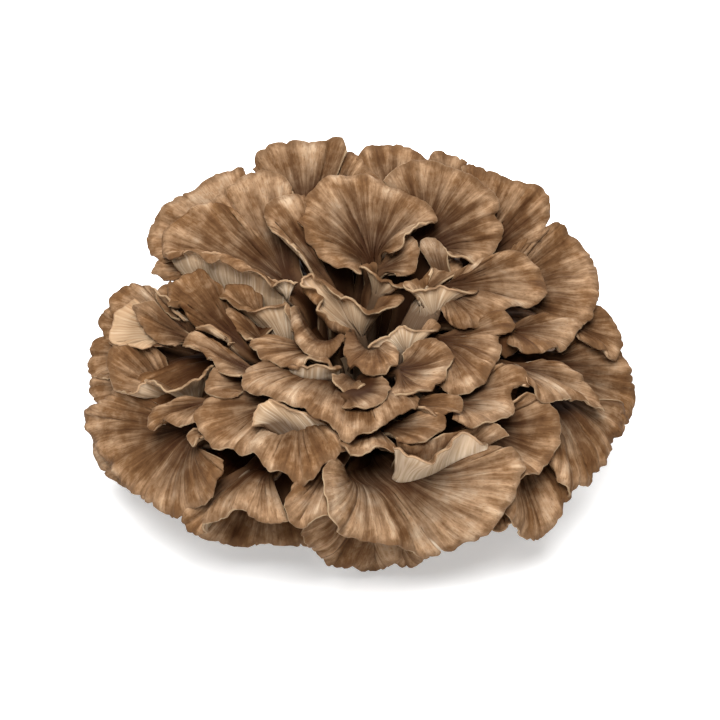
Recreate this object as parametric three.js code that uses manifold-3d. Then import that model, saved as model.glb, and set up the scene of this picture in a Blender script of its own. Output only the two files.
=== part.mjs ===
// Maitake (hen of the woods): one cut cluster of overlapping fronds on a branching stem butt.
// Millimetres, +Z up. The origin is the middle of the flat cut face that the cluster rests on.
// Every branch of the cluster is one mesh: a strap-like stalk that opens into one or more fronds.
import * as THREE from 'three';
import Module from 'manifold-3d';

const wasm = await Module();
wasm.setup();

// Driving dimensions
const CUT_RADIUS = 29; // flat cut face under the stem butt
const HEART = { x: 0, y: 4, z: 22 }; // middle of the branching head of the butt
const HEAD_RADIUS = 37; // sideways reach of the head
const HEAD_RISE = 27; // how far the head rises over its middle
const HEAD_LUMPS = 0.05; // lumps of the head, as a share of its reach
const GAP = 0.3; // clearance between neighbouring pieces

const RIM_THICKNESS = 1.6; // frond at its outer edge
const NECK_THICKNESS = 3; // frond where the stalk opens into it
const ROOT_THICKNESS = 5; // stalk at the stem butt
const ROOT_WIDTH = 9;
const ROOT_DEPTH = 0.9; // where a stalk starts, as a share of the head's radius
const NECK_WIDTH = 6; // stalk width under a small frond

const RIM_STEP = 13; // length of one facet along a rim
const MIN_RIM_STEPS = 3;
const MAX_RIM_STEPS = 9;
const BLADE_STEPS = 2; // facets from neck to rim
const STALK_STEPS = 1; // facets from stem butt to neck

const BUTT_SIDES = 24;
const LUMPS_AROUND = 5;
const CAP_COLOUR = 0x9c7b5d;
const FLESH_COLOUR = 0xd9c9ae;
const ROUGHNESS = 0.75;

// Fronds that are seen from above and in front. The rim runs clockwise about the neck, seen from
// the cap side. A neck of several points is a broad one. The belly lifts the middle of each ray.
const BRANCHES = {
  crown_left_fan: [
    { neck: [[-19, 36, 91]], width: 14, belly: -2,
      rim: [[-39, 49, 104], [-37, 53, 109], [-28, 57, 112], [-16, 55, 112], [-6, 58, 113], [-4, 54, 110]] },
    { neck: [[-8, 41, 94]],
      rim: [[-11, 59, 106], [-4, 59, 107], [0, 57, 106], [5, 49, 103], [10, 45, 100]] },
  ],
  crown_right_fan: [
    { neck: [[14, 37, 92]], width: 10, belly: -2,
      rim: [[-1, 52, 105], [3, 58, 109], [8, 59, 109], [14, 59, 110], [20, 58, 108], [26, 54, 105],
            [30, 50, 102]] },
    { neck: [[32, 47, 94]],
      rim: [[25, 54, 104], [29, 59, 107], [34, 59, 106], [38, 57, 105], [41, 56, 103]] },
  ],
  great_right_fan: [
    { neck: [[27, 28, 83]], width: 20,
      rim: [[9, 40, 103], [14, 45, 106], [23, 48, 108], [34, 46, 106], [43, 43, 103], [50, 39, 98],
            [52, 35, 95], [50, 33, 93], [53, 28, 89], [51, 23, 85], [45, 17, 83], [37, 15, 84],
            [32, 19, 85]] },
    { neck: [[31, 16, 76]],
      rim: [[22, 20, 85], [23, 22, 88], [27, 23, 88], [30, 21, 86], [32, 18, 84]] },
  ],
  shoulder_right_fan: [
    { neck: [[45, 29, 78]], width: 12,
      rim: [[38, 50, 104], [42, 51, 105], [50, 48, 103], [60, 46, 100], [66, 46, 99], [70, 45, 96],
            [71, 41, 92], [70, 36, 88], [67, 31, 83]] },
  ],
  flank_right_fan: [
    { neck: [[51, 17, 69]], width: 12,
      rim: [[57, 29, 82], [65, 33, 85], [74, 38, 87], [80, 38, 82], [86, 33, 76], [88, 26, 73],
            [88, 17, 71], [86, 9, 68], [84, 5, 64], [77, 0, 62]] },
  ],
  shoulder_left_fan: [
    { neck: [[-38, 31, 79]], width: 12,
      rim: [[-72, 26, 76], [-77, 32, 78], [-79, 39, 80], [-77, 43, 84], [-74, 45, 89], [-67, 47, 94],
            [-62, 48, 96], [-55, 50, 100], [-48, 53, 102], [-43, 53, 103], [-41, 52, 100]] },
  ],
  crown_left_inner_fan: [
    { neck: [[-25, 17, 75]], width: 10, belly: -2,
      rim: [[-55, 43, 93], [-49, 44, 98], [-42, 47, 102], [-35, 48, 104], [-29, 45, 103],
            [-25, 40, 100], [-22, 37, 96]] },
  ],
  great_left_funnel: [
    { neck: [[-22, 8, 71]], width: 12,
      rim: [[-21, 6, 80], [-29, 7, 80], [-34, 9, 81], [-41, 11, 84], [-49, 15, 86], [-54, 18, 86],
            [-59, 21, 85], [-65, 23, 84], [-71, 26, 82], [-74, 31, 82], [-74, 36, 84], [-70, 39, 89],
            [-64, 41, 93], [-56, 42, 95], [-48, 40, 94], [-41, 37, 90]] },
    { neck: [[-24, 7, 72], [-30, 9, 70], [-36, 11, 72], [-43, 14, 75], [-50, 17, 77], [-56, 20, 79],
             [-61, 22, 80], [-68, 25, 79]],
      rim: [[-21, 6, 79], [-29, 7, 79], [-34, 9, 80], [-41, 11, 83], [-49, 15, 85], [-54, 18, 85],
            [-59, 21, 84], [-65, 23, 83], [-70, 25, 81]] },
  ],
  great_top_fan: [
    { neck: [[5, 19, 79]], width: 8,
      rim: [[2, 9, 84], [-6, 10, 85], [-13, 13, 87], [-16, 19, 90], [-20, 22, 92], [-22, 26, 95],
            [-21, 31, 98], [-17, 36, 102], [-11, 41, 105], [-5, 42, 106], [4, 41, 105], [12, 38, 103],
            [21, 34, 100], [28, 29, 96], [21, 23, 95], [16, 18, 94], [14, 14, 91], [10, 12, 89]] },
  ],
  top_curled_leaf: [
    { neck: [[-13, 12, 77]], width: 6,
      rim: [[-21, 15, 86], [-24, 18, 89], [-29, 21, 91], [-32, 24, 93], [-34, 28, 96], [-32, 32, 99],
            [-27, 34, 100], [-19, 37, 99]] },
  ],
  heart_crescent: [
    { neck: [[6, -39, 67], [4, -47, 65], [-1, -51, 65], [-4, -52, 64]],
      rim: [[8, -41, 68], [11, -47, 67], [8, -56, 67], [1, -59, 66], [-5, -56, 66]] },
    { neck: [[1, -41, 65], [-2, -43, 64], [-5, -42, 65], [-7, -40, 67]],
      rim: [[3, -44, 66], [-2, -47, 64], [-7, -46, 66], [-9, -42, 69]] },
  ],
  front_wavy_frond: [
    { neck: [[16, -44, 61], [1, -40, 59], [-13, -32, 61], [-22, -28, 63]], belly: 2,
      rim: [[21, -50, 64], [19, -57, 64], [14, -60, 65], [8, -64, 64], [6, -67, 62], [1, -68, 62],
            [-2, -72, 62], [-5, -71, 62], [-8, -66, 63], [-13, -62, 64], [-18, -57, 66],
            [-22, -56, 65], [-27, -52, 65], [-32, -48, 65], [-36, -48, 65], [-39, -43, 64],
            [-39, -37, 66], [-36, -30, 65]] },
  ],
  right_flap: [
    { neck: [[74, 8, 61]], width: 6,
      rim: [[82, 13, 67], [88, 11, 66], [94, 8, 60], [96, 4, 55], [93, -3, 53], [88, -3, 57],
            [83, -3, 59], [78, -1, 61]] },
  ],
  right_outer_fan: [
    { neck: [[68, -10, 52]], width: 14,
      rim: [[75, 5, 60], [85, 5, 57], [95, 3, 52], [99, 1, 47], [100, -3, 42], [101, -6, 36],
            [98, -15, 34], [94, -21, 32], [85, -29, 35]] },
  ],
  right_folded_leaf: [
    { neck: [[53, -19, 58]], width: 5, belly: 1,
      rim: [[65, -16, 60], [73, -17, 58], [81, -22, 53], [86, -27, 45], [81, -29, 50], [76, -30, 53],
            [69, -37, 55], [63, -38, 57], [59, -34, 60], [58, -28, 61]] },
  ],
  right_inner_leaf: [
    { neck: [[53, -2, 62]], belly: 1,
      rim: [[61, 4, 66], [68, 5, 67], [80, 3, 64], [78, -3, 63], [74, -9, 60], [70, -12, 61],
            [65, -16, 63], [58, -18, 64], [52, -13, 65]] },
  ],
  right_oval_cap: [
    { neck: [[29, 11, 72]], width: 10, belly: 2,
      rim: [[35, 14, 79], [45, 18, 82], [54, 21, 84], [62, 21, 81], [67, 16, 76], [68, 8, 73],
            [63, 3, 71], [55, 1, 72], [49, -4, 69], [39, -11, 69], [33, -9, 69], [29, -1, 71]] },
  ],
  right_lobed_cap: [
    { neck: [[28, -12, 64]], width: 8, belly: 1,
      rim: [[41, -2, 68], [51, -1, 70], [56, -4, 68], [54, -9, 67], [50, -11, 66], [50, -19, 66],
            [48, -27, 65], [45, -34, 65], [40, -42, 63], [34, -45, 63], [28, -41, 63], [24, -34, 62]] },
  ],
  heart_white_cup: [
    { neck: [[17, -17, 62]], width: 8,
      rim: [[22, -3, 68], [26, -4, 70], [29, -6, 69], [27, -12, 70], [20, -13, 70], [15, -11, 71],
            [10, -16, 70], [5, -22, 70], [2, -24, 69]] },
  ],
  right_shell_cup: [
    { neck: [[13, -32, 64]], width: 6, belly: -2,
      rim: [[16, -23, 66], [21, -18, 68], [27, -16, 68], [32, -23, 68], [32, -31, 67], [28, -41, 67],
            [22, -48, 67], [16, -52, 67], [10, -48, 67]] },
  ],
  right_torn_fan: [
    { neck: [[31, -42, 58]], width: 8,
      rim: [[43, -28, 63], [53, -25, 63], [59, -29, 61], [59, -32, 60], [56, -34, 61], [52, -39, 60],
            [53, -45, 59], [51, -50, 58], [43, -56, 59], [37, -59, 60], [31, -57, 61]] },
  ],
  right_hooded_fan: [
    { neck: [[45, -43, 48]], width: 12, belly: -2,
      rim: [[52, -38, 57], [60, -37, 57], [65, -37, 55], [68, -41, 53], [69, -45, 48], [67, -50, 45],
            [63, -57, 43], [57, -63, 43], [51, -65, 42]] },
  ],
  right_small_leaves: [
    { neck: [[11, -56, 56]], width: 6,
      rim: [[20, -54, 62], [27, -57, 63], [29, -59, 61], [26, -64, 60], [20, -68, 60], [13, -69, 60]] },
    { neck: [[17, -48, 61]], width: 4,
      rim: [[22, -46, 63], [30, -47, 64], [35, -50, 64], [35, -53, 62], [32, -56, 62], [27, -57, 63],
            [22, -56, 65]] },
  ],
  right_lower_fan: [
    { neck: [[66, -23, 46]], width: 16, belly: 3,
      rim: [[96, -11, 38], [95, -20, 33], [92, -25, 31], [87, -34, 30], [87, -36, 28], [82, -43, 29],
            [80, -46, 26], [76, -50, 29], [73, -56, 28], [68, -56, 35], [64, -49, 38], [60, -42, 41]] },
  ],
  left_upper_fan: [
    { neck: [[-60, 1, 62]], width: 6,
      rim: [[-87, 8, 58], [-91, 13, 65], [-89, 17, 69], [-83, 18, 72], [-76, 15, 72], [-70, 6, 71],
            [-62, 1, 65]] },
    { neck: [[-61, -6, 62]], width: 4, belly: -3,
      rim: [[-80, 8, 71], [-85, 8, 67], [-88, 5, 62], [-88, -1, 58], [-83, -4, 58], [-73, -7, 59]] },
    { neck: [[-60, -9, 64]], width: 4,
      rim: [[-64, -11, 62], [-69, -10, 62], [-74, -7, 64], [-78, -2, 67], [-80, 1, 72], [-72, -1, 75]] },
  ],
  left_cup: [
    { neck: [[-58, -20, 40]], width: 12,
      rim: [[-49, -26, 63], [-54, -34, 63], [-65, -34, 59], [-73, -26, 58], [-78, -27, 54],
            [-85, -20, 50], [-89, -9, 52], [-89, -4, 56], [-85, -2, 59], [-75, -3, 61], [-66, -10, 58]] },
  ],
  left_edge_leaves: [
    { neck: [[-75, 7, 57]],
      rim: [[-88, 3, 54], [-92, 7, 55], [-95, 13, 59], [-93, 14, 63], [-88, 14, 65]] },
    { neck: [[-75, 0, 52]],
      rim: [[-90, -8, 47], [-96, -2, 44], [-99, 2, 45], [-99, 6, 47], [-97, 8, 52], [-93, 10, 56]] },
    { neck: [[-74, -14, 48]],
      rim: [[-93, -12, 39], [-96, -8, 39], [-98, -3, 40], [-97, -2, 43], [-93, -4, 46]] },
  ],
  left_lower_fan: [
    { neck: [[-52, -40, 45]], width: 16, belly: 3,
      rim: [[-44, -65, 50], [-45, -71, 46], [-49, -74, 40], [-55, -71, 34], [-61, -68, 28],
            [-68, -61, 27], [-75, -54, 27], [-82, -44, 26], [-91, -30, 29], [-97, -20, 31],
            [-99, -13, 35], [-96, -14, 39], [-89, -15, 45], [-80, -18, 49]] },
    { neck: [[-62, -33, 37]],
      rim: [[-76, -41, 23], [-82, -37, 20], [-86, -33, 19], [-90, -28, 19], [-94, -22, 20],
            [-96, -16, 23], [-96, -12, 27]] },
  ],
  left_inner_fan: [
    { neck: [[-41, -17, 65]], width: 8,
      rim: [[-43, -20, 68], [-47, -12, 68], [-53, -8, 68], [-58, -5, 67], [-62, 0, 69], [-65, 4, 72],
            [-69, 9, 73], [-67, 15, 76], [-62, 18, 78], [-58, 19, 79], [-53, 16, 76], [-48, 12, 69]] },
  ],
  left_back_leaves: [
    { neck: [[-55, 8, 61]],
      rim: [[-63, 3, 66], [-69, 6, 69], [-73, 10, 71], [-72, 15, 72], [-68, 19, 73]] },
    { neck: [[-51, 30, 72]],
      rim: [[-67, 21, 72], [-74, 22, 73], [-76, 24, 73], [-74, 27, 76], [-71, 32, 77]] },
  ],
  left_small_fans: [
    { neck: [[-49, -41, 56]], belly: 1,
      rim: [[-53, -51, 56], [-59, -50, 54], [-63, -47, 53], [-67, -44, 52], [-71, -44, 48],
            [-72, -39, 51], [-68, -37, 54], [-60, -37, 55]] },
    { neck: [[-48, -51, 52]], width: 4,
      rim: [[-52, -56, 53], [-54, -56, 53], [-55, -58, 51], [-57, -54, 52], [-55, -52, 54]] },
  ],
  left_pale_leaf: [
    { neck: [[-36, -33, 63]], width: 5,
      rim: [[-40, -38, 65], [-45, -34, 65], [-50, -27, 65], [-55, -19, 65], [-61, -14, 65],
            [-61, -10, 65], [-58, -7, 66], [-51, -13, 65], [-44, -19, 64]] },
    { neck: [[-33, -14, 64]], width: 4,
      rim: [[-37, -18, 68], [-42, -10, 68], [-47, -1, 71], [-44, 2, 70], [-39, 2, 68]] },
    { neck: [[-36, -33, 59]], width: 6,
      rim: [[-40, -45, 62], [-48, -44, 61], [-52, -38, 61], [-51, -33, 63], [-49, -25, 63]] },
  ],
  heart_cup: [
    { neck: [[9, 14, 79]], width: 5,
      rim: [[11, 18, 86], [15, 19, 89], [19, 21, 90], [22, 18, 88], [22, 14, 85], [20, 9, 82],
            [18, 8, 80], [14, 9, 80]] },
    { neck: [[7, 6, 73]], width: 5,
      rim: [[19, 7, 80], [15, 4, 80], [10, 6, 82], [5, 8, 83], [2, 11, 85], [8, 17, 83]] },
  ],
  heart_funnel: [
    { neck: [[0, -6, 62]], width: 8,
      rim: [[9, 6, 75], [15, 4, 77], [14, 0, 76], [8, -3, 75], [1, -2, 76], [-5, 1, 78], [-11, 5, 81],
            [-17, 9, 82], [-21, 6, 80], [-21, 3, 77], [-16, -1, 75], [-16, -5, 72], [-11, -11, 70],
            [-4, -16, 70]] },
  ],
  heart_s_curl: [
    { neck: [[-21, -8, 60], [-27, -7, 60], [-33, -5, 62]],
      rim: [[-21, -11, 69], [-23, -4, 74], [-26, -1, 76], [-34, -3, 74], [-41, -1, 74], [-48, 4, 75],
            [-49, 7, 75], [-47, 11, 77], [-41, 12, 76], [-34, 11, 73]] },
    { neck: [[-5, -18, 70], [-8, -20, 68], [-12, -20, 67], [-16, -17, 67], [-20, -11, 70], [-23, -4, 74]],
      belly: 1,
      rim: [[-4, -20, 71], [-7, -27, 69], [-14, -30, 69], [-19, -27, 70], [-22, -20, 72], [-24, -8, 75]] },
  ],
  heart_left_leaf: [
    { neck: [[-13, -20, 65]], width: 6,
      rim: [[-7, -38, 68], [-11, -33, 68], [-16, -31, 69], [-21, -35, 69], [-26, -35, 68],
            [-32, -30, 68], [-35, -25, 68], [-38, -20, 68], [-36, -15, 68], [-31, -12, 67],
            [-24, -14, 65]] },
    { neck: [[-6, -36, 68], [-12, -38, 66], [-17, -38, 66], [-23, -35, 68]],
      rim: [[-5, -38, 69], [-11, -40, 71], [-17, -39, 71], [-24, -36, 69]] },
  ],
  heart_round_curl: [
    { neck: [[10, -19, 68], [8, -24, 67], [4, -27, 67], [0, -22, 67], [-3, -12, 69]],
      rim: [[12, -21, 69], [14, -30, 69], [9, -42, 70], [1, -41, 70], [-4, -32, 69], [-5, -20, 69],
            [-4, -12, 70]] },
  ],
  heart_flat_cap: [
    { neck: [[29, -1, 70], [25, -4, 69], [20, -2, 69], [19, 2, 70]], belly: 1,
      rim: [[43, 7, 77], [36, 3, 78], [29, 3, 79], [21, 1, 79], [16, 4, 79], [18, 8, 79], [24, 12, 78],
            [27, 19, 79], [32, 24, 80], [37, 23, 80], [39, 17, 78]] },
  ],
  front_left_fan: [
    { neck: [[-21, -42, 56]], width: 16, belly: 2,
      rim: [[-2, -68, 58], [-7, -74, 57], [-11, -77, 56], [-14, -81, 53], [-19, -81, 51],
            [-25, -76, 53], [-29, -75, 52], [-34, -68, 55], [-39, -67, 53], [-42, -63, 53],
            [-47, -62, 52], [-51, -57, 53], [-55, -50, 56], [-53, -45, 59], [-47, -39, 60],
            [-38, -40, 59]] },
    { neck: [[-4, -62, 55], [-16, -58, 56], [-24, -56, 58], [-31, -59, 59]],
      rim: [[-12, -58, 61], [-19, -55, 63], [-26, -51, 64], [-31, -50, 64], [-34, -55, 63],
            [-35, -61, 60]] },
  ],
  front_white_cup: [
    { neck: [[43, -58, 51], [31, -62, 48], [24, -66, 47], [15, -67, 44], [12, -66, 46]],
      rim: [[42, -60, 53], [37, -62, 57], [33, -64, 59], [27, -71, 57], [24, -75, 56], [16, -75, 59],
            [12, -71, 60]] },
    { neck: [[13, -65, 52], [22, -65, 49], [30, -59, 50], [38, -56, 51], [44, -56, 50]],
      rim: [[12, -69, 60], [17, -68, 58], [24, -65, 58], [32, -60, 58], [40, -56, 57], [45, -53, 57],
            [48, -55, 56], [50, -58, 55]] },
  ],
  front_small_leaf: [
    { neck: [[3, -53, 55]], width: 8,
      rim: [[13, -71, 59], [9, -72, 59], [5, -73, 60], [0, -76, 59], [-3, -74, 59], [-5, -71, 60],
            [-3, -66, 59]] },
    { neck: [[14, -30, 34]], width: 14,
      rim: [[38, -40, 48], [32, -48, 48], [24, -53, 47], [14, -54, 47], [4, -51, 47], [-6, -46, 47]] },
  ],
  front_arched_fan: [
    { neck: [[-32, -61, 42]], width: 14, belly: 3,
      rim: [[-22, -86, 40], [-26, -86, 39], [-31, -84, 38], [-35, -82, 39], [-38, -80, 40],
            [-44, -79, 36], [-50, -76, 32], [-52, -73, 25], [-56, -71, 25], [-59, -70, 29],
            [-58, -66, 32]] },
  ],
  front_left_skirt: [
    { neck: [[-32, -58, 33]], width: 20,
      rim: [[-15, -71, 19], [-23, -71, 19], [-31, -69, 18], [-38, -66, 15], [-45, -65, 15],
            [-52, -64, 16], [-53, -66, 20]] },
  ],
  front_narrow_fan: [
    { neck: [[-8, -63, 48]], width: 8, belly: 2,
      rim: [[-9, -88, 45], [-13, -89, 43], [-17, -90, 42], [-20, -89, 40], [-23, -88, 44],
            [-23, -86, 48], [-21, -80, 50]] },
  ],
  front_low_fan: [
    { neck: [[4, -61, 38]], width: 20, belly: 3,
      rim: [[24, -74, 16], [17, -69, 8], [12, -72, 12], [6, -66, 4], [-3, -70, 9], [-10, -70, 10],
            [-13, -78, 20], [-17, -85, 30], [-18, -87, 38], [-17, -84, 40]] },
  ],
  great_front_fan: [
    { neck: [[30, -61, 46], [21, -66, 43], [12, -68, 41], [5, -69, 41], [-3, -68, 43], [-7, -67, 48]],
      belly: 1,
      rim: [[37, -56, 51], [47, -57, 50], [53, -57, 49], [56, -61, 46], [54, -66, 43], [51, -73, 39],
            [45, -78, 32], [40, -79, 27], [34, -78, 24], [30, -78, 21], [27, -78, 20], [23, -79, 20],
            [20, -80, 22], [16, -83, 27], [10, -86, 31], [2, -87, 33], [-4, -89, 37], [-8, -90, 44],
            [-10, -85, 51], [-10, -80, 54], [-10, -75, 56], [-7, -71, 55]] },
  ],
  front_right_fan: [
    { neck: [[50, -39, 41]], width: 16, belly: 3,
      rim: [[73, -53, 27], [70, -60, 26], [68, -62, 24], [64, -65, 19], [61, -66, 18], [57, -69, 20],
            [53, -73, 28], [50, -74, 33], [47, -71, 38]] },
    { neck: [[45, -43, 31]],
      rim: [[54, -70, 28], [49, -72, 29], [47, -73, 27], [43, -75, 29]] },
  ],
};

// Broad fans that close the back and the underside of the rosette. Angles are in degrees: the
// fan stands at azimuth, its neck is at radius and height, and its rays reach out and fall by drop.
const SKIRT = [
  { name: 'back_top_fans', fans: [
    { azimuth: 70, radius: 34, height: 84, reach: 42, half: 44, drop: -4, turn: 0 },
    { azimuth: 112, radius: 34, height: 86, reach: 40, half: 44, drop: -3, turn: 1 }] },
  { name: 'back_upper_fans', fans: [
    { azimuth: 50, radius: 42, height: 62, reach: 48, half: 62, drop: 2, turn: 2 },
    { azimuth: 90, radius: 42, height: 64, reach: 48, half: 60, drop: 2, turn: 0.5 },
    { azimuth: 130, radius: 42, height: 62, reach: 47, half: 62, drop: 1, turn: 1.5 }] },
  { name: 'back_right_fan', fans: [
    { azimuth: 30, radius: 45, height: 42, reach: 50, half: 60, drop: 6, turn: 0 }] },
  { name: 'back_middle_fans', fans: [
    { azimuth: 70, radius: 45, height: 40, reach: 50, half: 60, drop: 8, turn: 1 },
    { azimuth: 108, radius: 45, height: 42, reach: 50, half: 60, drop: 8, turn: 2 }] },
  { name: 'back_left_fans', fans: [
    { azimuth: 148, radius: 45, height: 40, reach: 48, half: 60, drop: 6, turn: 3 },
    { azimuth: 152, radius: 42, height: 24, reach: 43, half: 60, drop: 12, turn: 1 }] },
  { name: 'skirt_right_fan', fans: [
    { azimuth: 10, radius: 42, height: 26, reach: 44, half: 60, drop: 10, turn: 1 }] },
  { name: 'skirt_back_fans', fans: [
    { azimuth: 58, radius: 42, height: 22, reach: 42, half: 60, drop: 12, turn: 0 },
    { azimuth: 104, radius: 42, height: 22, reach: 42, half: 60, drop: 12, turn: 2 }] },
  { name: 'inner_left_fans', fans: [
    { azimuth: 184, radius: 30, height: 52, reach: 51, half: 58, drop: 6, turn: 0 },
    { azimuth: 216, radius: 30, height: 36, reach: 44, half: 55, drop: 8, turn: 1 }] },
  { name: 'inner_right_fan', fans: [
    { azimuth: 358, radius: 32, height: 48, reach: 44, half: 55, drop: 4, turn: 1 }] },
  { name: 'inner_low_right_fan', fans: [
    { azimuth: 325, radius: 32, height: 36, reach: 42, half: 55, drop: 8, turn: 2 }] },
  { name: 'inner_back_right_fan', fans: [
    { azimuth: 20, radius: 26, height: 60, reach: 46, half: 60, drop: 2, turn: 0 }] },
  { name: 'inner_back_left_fans', fans: [
    { azimuth: 165, radius: 22, height: 61, reach: 35, half: 76, drop: 0, turn: 1 },
    { azimuth: 122, radius: 20, height: 66, reach: 44, half: 62, drop: 2, turn: 1 }] },
];
const SKIRT_POINTS = 9;
const SKIRT_SIDE_LOSS = 0.22; // how much shorter the outermost rays are
const SKIRT_WAVE = 3; // height of the waves in the rim
const SKIRT_WIDTH = 14;
const SKIRT_BELLY = 4;

/** Rim and neck of one skirt fan: rays that spread about its azimuth and fall in a waving rim. */
function skirtBlade({ azimuth, radius, height, reach, half, drop, turn }) {
  const heading = THREE.MathUtils.degToRad(azimuth);
  const neck = [radius * Math.cos(heading), radius * Math.sin(heading), height];
  const rim = [];
  for (let i = 0; i < SKIRT_POINTS; i++) {
    const side = 1 - (2 * i) / (SKIRT_POINTS - 1);
    const angle = heading + THREE.MathUtils.degToRad(half) * side;
    const ray = reach * (1 - SKIRT_SIDE_LOSS * side * side);
    const fall = -drop * (1 - 0.35 * side * side) + SKIRT_WAVE * Math.sin(2 * Math.PI * side + turn);
    rim.push([neck[0] + ray * Math.cos(angle), neck[1] + ray * Math.sin(angle), neck[2] + fall]);
  }
  return { neck: [neck], rim, width: SKIRT_WIDTH, belly: SKIRT_BELLY };
}

const vector = (p) => new THREE.Vector3(p[0], p[1], p[2]);
const heart = new THREE.Vector3(HEART.x, HEART.y, HEART.z);

/** The mean of some points. */
function middleOf(points) {
  const sum = points.reduce((total, p) => total.add(p), new THREE.Vector3());
  return sum.divideScalar(points.length);
}

/** Evenly numbered points on the smooth curve through the given ones. */
function curvePoints(points, steps) {
  const curve = new THREE.CatmullRomCurve3(points.map(vector), false, 'catmullrom', 0.5);
  return Array.from({ length: steps + 1 }, (_, i) => curve.getPoint(i / steps));
}

/** Differences along a row of points, from each point's neighbours. */
function slopes(points) {
  const last = points.length - 1;
  return points.map((_, i) => points[Math.min(i + 1, last)].clone().sub(points[Math.max(i - 1, 0)]));
}

/** The row of points where a stalk opens into its frond. */
function neckPoints(blade, rim) {
  const steps = rim.length - 1;
  if (blade.neck.length > 1) return curvePoints(blade.neck, steps);
  const centre = vector(blade.neck[0]);
  const outward = middleOf(rim).sub(centre).normalize();
  const across = rim[steps].clone().sub(rim[0]);
  across.addScaledVector(outward, -across.dot(outward)).normalize();
  const width = blade.width ?? NECK_WIDTH;
  return rim.map((_, i) => centre.clone().addScaledVector(across, width * (i / steps - 0.5)));
}

/** Where a branch leaves the head of the stem butt: on the way from its heart to the necks. */
function rootOf(necks) {
  const away = middleOf(necks).sub(heart);
  const reach = Math.hypot(away.x / HEAD_RADIUS, away.y / HEAD_RADIUS, away.z / HEAD_RISE);
  return heart.clone().addScaledVector(away, ROOT_DEPTH / reach);
}

/** The middle surface of a frond with its stalk: rows of points from the root to the rim. */
function bladeSurface(blade, root) {
  const rough = curvePoints(blade.rim, 4 * MAX_RIM_STEPS);
  const length = rough.slice(1).reduce((sum, p, i) => sum + p.distanceTo(rough[i]), 0);
  const steps = THREE.MathUtils.clamp(Math.round(length / RIM_STEP), MIN_RIM_STEPS, MAX_RIM_STEPS);
  const rim = curvePoints(blade.rim, steps);
  const neck = neckPoints(blade, rim);
  const centre = middleOf(neck);

  // The stalk bends from the way out of the head to the way into the frond.
  const reach = centre.distanceTo(root);
  const leave = root.clone().sub(heart).normalize().multiplyScalar(reach);
  const arrive = middleOf(rim).sub(centre).normalize().multiplyScalar(reach);
  const across = neck[steps].clone().sub(neck[0]).normalize();
  const rows = [];
  for (let j = 0; j < STALK_STEPS; j++) {
    const s = j / STALK_STEPS;
    const middle = root.clone().multiplyScalar((1 + 2 * s) * (1 - s) ** 2)
      .addScaledVector(leave, s * (1 - s) ** 2)
      .addScaledVector(centre, s * s * (3 - 2 * s))
      .addScaledVector(arrive, s * s * (s - 1));
    rows.push(neck.map((p, i) => {
      const atRoot = across.clone().multiplyScalar(ROOT_WIDTH * (i / steps - 0.5));
      return middle.clone().add(atRoot.lerp(p.clone().sub(centre), s));
    }));
  }

  // The frond is ruled from neck to rim, with the belly along each ray's own normal.
  const rimSlopes = slopes(rim);
  const neckSlopes = slopes(neck);
  const normals = rim.map((p, i) => rimSlopes[i].clone().add(neckSlopes[i])
    .cross(p.clone().sub(neck[i])).normalize());
  for (let j = 0; j <= BLADE_STEPS; j++) {
    const t = j / BLADE_STEPS;
    const lift = (blade.belly ?? 0) * 4 * t * (1 - t);
    rows.push(rim.map((p, i) => neck[i].clone().lerp(p, t).addScaledVector(normals[i], lift)));
  }
  return rows;
}

/** Thickness of the strap and the frond at a row of the surface. */
function thicknessAt(row) {
  if (row < STALK_STEPS) return THREE.MathUtils.lerp(ROOT_THICKNESS, NECK_THICKNESS, row / STALK_STEPS);
  return THREE.MathUtils.lerp(NECK_THICKNESS, RIM_THICKNESS, (row - STALK_STEPS) / BLADE_STEPS);
}

/** A solid about a surface, swollen on every side by the given amount: a wedge to each facet. */
function thicken(rows, swell) {
  const lastRow = rows.length - 1;
  const lastColumn = rows[0].length - 1;
  const columnSlopes = rows[0].map((_, i) => slopes(rows.map((row) => row[i])));
  const corners = rows.map((row, j) => {
    const rowSlopes = slopes(row);
    const half = thicknessAt(j) / 2;
    return row.map((p, i) => {
      const along = columnSlopes[i][j];
      const normal = rowSlopes[i].clone().cross(along).normalize();
      const edge = p.clone();
      if (j === lastRow) edge.addScaledVector(along.clone().normalize(), swell);
      if (i === 0) edge.addScaledVector(rowSlopes[i].clone().normalize(), -swell);
      if (i === lastColumn) edge.addScaledVector(rowSlopes[i].clone().normalize(), swell);
      const sides = [[p, half], [p, -half], [edge, half + swell], [edge, -half - swell]];
      return sides.map(([from, offset]) => from.clone().addScaledVector(normal, offset).toArray());
    });
  });
  const wedges = [];
  for (let j = 0; j < lastRow; j++) {
    for (let i = 0; i < lastColumn; i++) {
      const [a, b] = [corners[j][i], corners[j][i + 1]];
      const [c, d] = [corners[j + 1][i + 1], corners[j + 1][i]];
      wedges.push(wasm.Manifold.hull([...a, ...b, ...c]), wasm.Manifold.hull([...a, ...c, ...d]));
    }
  }
  return wasm.Manifold.union(wedges);
}

/** A manifold solid from corner points and triangles. */
function solidFrom(points, index) {
  return new wasm.Manifold(new wasm.Mesh({
    numProp: 3,
    vertProperties: new Float32Array(points.flatMap((p) => p.toArray())),
    triVerts: new Uint32Array(index),
  }));
}

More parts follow.
